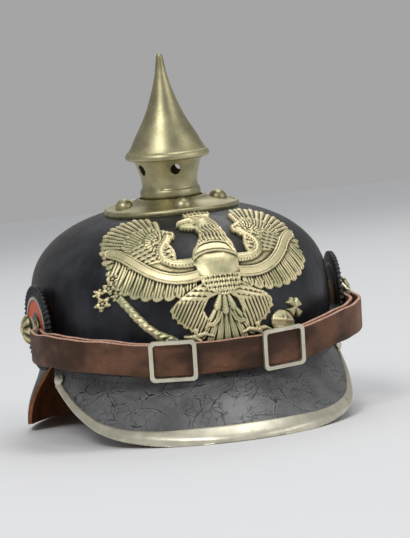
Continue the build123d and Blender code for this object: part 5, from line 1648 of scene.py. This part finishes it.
def add_camera():
    """Camera of the photograph."""
    level = math.cos(VIEW_PITCH)
    back = np.array([-math.sin(VIEW_YAW) * level, -math.cos(VIEW_YAW) * level, math.sin(VIEW_PITCH)])
    right = np.array([math.cos(VIEW_YAW), -math.sin(VIEW_YAW), 0.0])
    up = np.cross(right, -back)
    spot = np.array([0, 0, VIEW_LEVEL]) + VIEW_RIGHT_SHIFT * right + VIEW_DISTANCE * back
    rolled_right = math.cos(VIEW_ROLL) * right - math.sin(VIEW_ROLL) * up
    rolled_up = math.sin(VIEW_ROLL) * right + math.cos(VIEW_ROLL) * up
    axes = leaned([rolled_right, rolled_up, back])
    data = bpy.data.cameras.new("view")
    data.sensor_fit = "HORIZONTAL"
    data.sensor_width = SENSOR_WIDTH
    data.lens = FOCAL_PIXELS / IMAGE_WIDTH_PIXELS * SENSOR_WIDTH
    camera = bpy.data.objects.new("view", data)
    matrix = Matrix(axes.T.tolist()).to_4x4()
    matrix.translation = Vector(placed(spot))
    camera.matrix_world = matrix
    bpy.context.scene.collection.objects.link(camera)
    bpy.context.scene.camera = camera


class HELMET_OT_dress_leather(bpy.types.Operator):
    """Give the skull, the visors and the leather washers their finishes"""

    bl_idname = "helmet.dress_leather"
    bl_label = "Dress the leather"

    def execute(self, context):
        dress("black_lacquer", "shell", "rear_visor")
        dress("crackled_leather", "front_visor")
        dress("tan_leather", "base_washers", "plate_wedges", "lug_pads")
        return {"FINISHED"}


class HELMET_OT_dress_metal(bpy.types.Operator):
    """Give the base plate, the bayonet pins, the rear spine, the trim's studs, the buckles and the fittings
    their finishes
    """

    bl_idname = "helmet.dress_metal"
    bl_label = "Dress the metal"

    def execute(self, context):
        dress("tarnished_nickel", "base_plate", "base_studs", "bayonet_pins")
        dress("tarnished_nickel", "rear_spine", "rear_spine_studs")
        dress("plated_steel", "visor_trim_studs", "lug_washers", "lug_nuts")
        dress("plated_steel", "strap_buckle_right", "strap_buckle_left")
        dress("plated_steel", "strap_fitting_right", "strap_fitting_left")
        dress("pressed_brass", "plate_loops")
        return {"FINISHED"}


class HELMET_OT_build_cockades(bpy.types.Operator):
    """Build and paint the two stamped cockades"""

    bl_idname = "helmet.build_cockades"
    bl_label = "Build the cockades"

    def execute(self, context):
        for side, where, paint in ((-1, "right", "red_cockade"), (1, "left", "black_cockade")):
            points, faces = cockade_shape(side)
            piece = add_piece(f"stamped_cockade_{where}", points, faces, paint, "helmet")
            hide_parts(f"cockade_{where}")
        return {"FINISHED"}


class HELMET_OT_build_rosettes(bpy.types.Operator):
    """Build the lugs that hold the strap, with their rosette heads"""

    bl_idname = "helmet.build_rosettes"
    bl_label = "Build the rosettes"

    def execute(self, context):
        for side, where in ((-1, "right"), (1, "left")):
            points, faces, hollow = lug_shape(side)
            values = {"hollow": hollow}
            piece = add_piece(f"rosette_{where}", points, faces, "pressed_brass", "helmet", values)
            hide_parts(f"lug_{where}")
        return {"FINISHED"}


class HELMET_OT_build_spike(bpy.types.Operator):
    """Build the spike's flared cone and its waisted neck with the vent holes"""

    bl_idname = "helmet.build_spike"
    bl_label = "Build the spike"

    def execute(self, context):
        points, faces = neck_shape()
        piece = add_piece("waisted_neck", points, faces, "tarnished_nickel", "spike")
        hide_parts("spike_neck")
        points, faces = cone_shape()
        piece = add_piece("flared_cone", points, faces, "tarnished_nickel", "spike")
        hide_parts("spike_cone")
        return {"FINISHED"}


class HELMET_OT_build_base(bpy.types.Operator):
    """Build the dished outside of the base plate and its domed studs"""

    bl_idname = "helmet.build_base"
    bl_label = "Build the base plate"

    def execute(self, context):
        for name, shape in (("dished_plate", plate_shape), ("plate_stud_heads", plate_stud_shapes)):
            points, faces = shape()
            piece = add_piece(name, points, faces, "tarnished_nickel", "helmet")
        return {"FINISHED"}


class HELMET_OT_build_trim(bpy.types.Operator):
    """Build the folded metal trim of the front visor"""

    bl_idname = "helmet.build_trim"
    bl_label = "Build the visor trim"

    def execute(self, context):
        points, faces = trim_shape()
        piece = add_piece("folded_trim", points, faces, "plated_steel", "helmet")
        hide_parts("visor_trim")
        points, faces = trim_stud_shapes()
        add_piece("trim_stud_heads", points, faces, "plated_steel", "helmet")
        return {"FINISHED"}


class HELMET_OT_build_eagle(bpy.types.Operator):
    """Build the pressed eagle with its feathers, ribbons, sceptre and orb"""

    bl_idname = "helmet.build_eagle"
    bl_label = "Build the eagle"

    def execute(self, context):
        points, faces, hollow = eagle_shape(context.scene.helmet_look)
        values = {"hollow": hollow}
        piece = add_piece("eagle", points, faces, "pressed_brass", "helmet", values, closed=False)
        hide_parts("eagle_plate")
        return {"FINISHED"}


class HELMET_OT_build_strap(bpy.types.Operator):
    """Build the chin strap with the loops at its ends"""

    bl_idname = "helmet.build_strap"
    bl_label = "Build the chin strap"

    def execute(self, context):
        points, faces, edge = strap_shape(context.scene.helmet_look)
        piece = add_piece("strap_band", points, faces, "chestnut_leather", "strap", {"edge": edge})
        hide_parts("chin_strap")
        return {"FINISHED"}


class HELMET_OT_build_liner(bpy.types.Operator):
    """Build the leather liner with its fingers"""

    bl_idname = "helmet.build_liner"
    bl_label = "Build the liner"

    def execute(self, context):
        points, faces, reach = liner_shape(context.scene.helmet_look)
        piece = add_piece("liner_band", points, faces, "liner_leather", "helmet", {"hole_reach": reach})
        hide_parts("liner")
        return {"FINISHED"}


class HELMET_OT_build_stitches(bpy.types.Operator):
    """Build the row of stitches along the front visor's joint"""

    bl_idname = "helmet.build_stitches"
    bl_label = "Build the stitches"

    def execute(self, context):
        points, faces = stitch_shapes(context.scene.helmet_look)
        piece = add_piece("visor_stitches", points, faces, "waxed_thread", "helmet")
        return {"FINISHED"}


class HELMET_OT_set_stage(bpy.types.Operator):
    """Set the floor, the background, the lamps and the camera"""

    bl_idname = "helmet.set_stage"
    bl_label = "Set the stage"

    def execute(self, context):
        context.scene.view_settings.view_transform = "Standard"
        low, high = CAD_BOX
        middle = (Vector(low) + Vector(high)) / 2
        add_floor(low[2] - FLOOR_GAP)
        add_world()
        for name, (spot, size, share) in LAMPS.items():
            add_lamp(name, spot, size, share * context.scene.helmet_look.key_power, middle)
        add_camera()
        return {"FINISHED"}


OPERATORS = (
    HELMET_OT_dress_leather,
    HELMET_OT_dress_metal,
    HELMET_OT_build_cockades,
    HELMET_OT_build_rosettes,
    HELMET_OT_build_spike,
    HELMET_OT_build_base,
    HELMET_OT_build_trim,
    HELMET_OT_build_eagle,
    HELMET_OT_build_strap,
    HELMET_OT_build_liner,
    HELMET_OT_build_stitches,
    HELMET_OT_set_stage,
)


class HELMET_PT_dressing(bpy.types.Panel):
    """Sizes, colours and steps of the helmet's dressing"""

    bl_label = "Helmet dressing"
    bl_idname = "HELMET_PT_dressing"
    bl_space_type = "VIEW_3D"
    bl_region_type = "UI"
    bl_category = "Helmet"

    def draw(self, context):
        look = context.scene.helmet_look
        for key in HelmetLook.__annotations__:
            self.layout.prop(look, key)
        for operator in OPERATORS:
            self.layout.operator(operator.bl_idname)


CLASSES = (HelmetLook, *OPERATORS, HELMET_PT_dressing)


def register():
    """Registers the settings, the operators and the panel."""
    for cls in CLASSES:
        bpy.utils.register_class(cls)
    bpy.types.Scene.helmet_look = bpy.props.PointerProperty(type=HelmetLook)


def unregister():
    """Removes what `register` added."""
    del bpy.types.Scene.helmet_look
    for cls in reversed(CLASSES):
        bpy.utils.unregister_class(cls)


def main():
    """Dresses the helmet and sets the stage."""
    register()
    bpy.ops.helmet.dress_leather()
    bpy.ops.helmet.dress_metal()
    bpy.ops.helmet.build_cockades()
    bpy.ops.helmet.build_rosettes()
    bpy.ops.helmet.build_spike()
    bpy.ops.helmet.build_base()
    bpy.ops.helmet.build_trim()
    bpy.ops.helmet.build_eagle()
    bpy.ops.helmet.build_strap()
    bpy.ops.helmet.build_liner()
    bpy.ops.helmet.build_stitches()
    bpy.ops.helmet.set_stage()


if __name__ == "__main__":
    main()
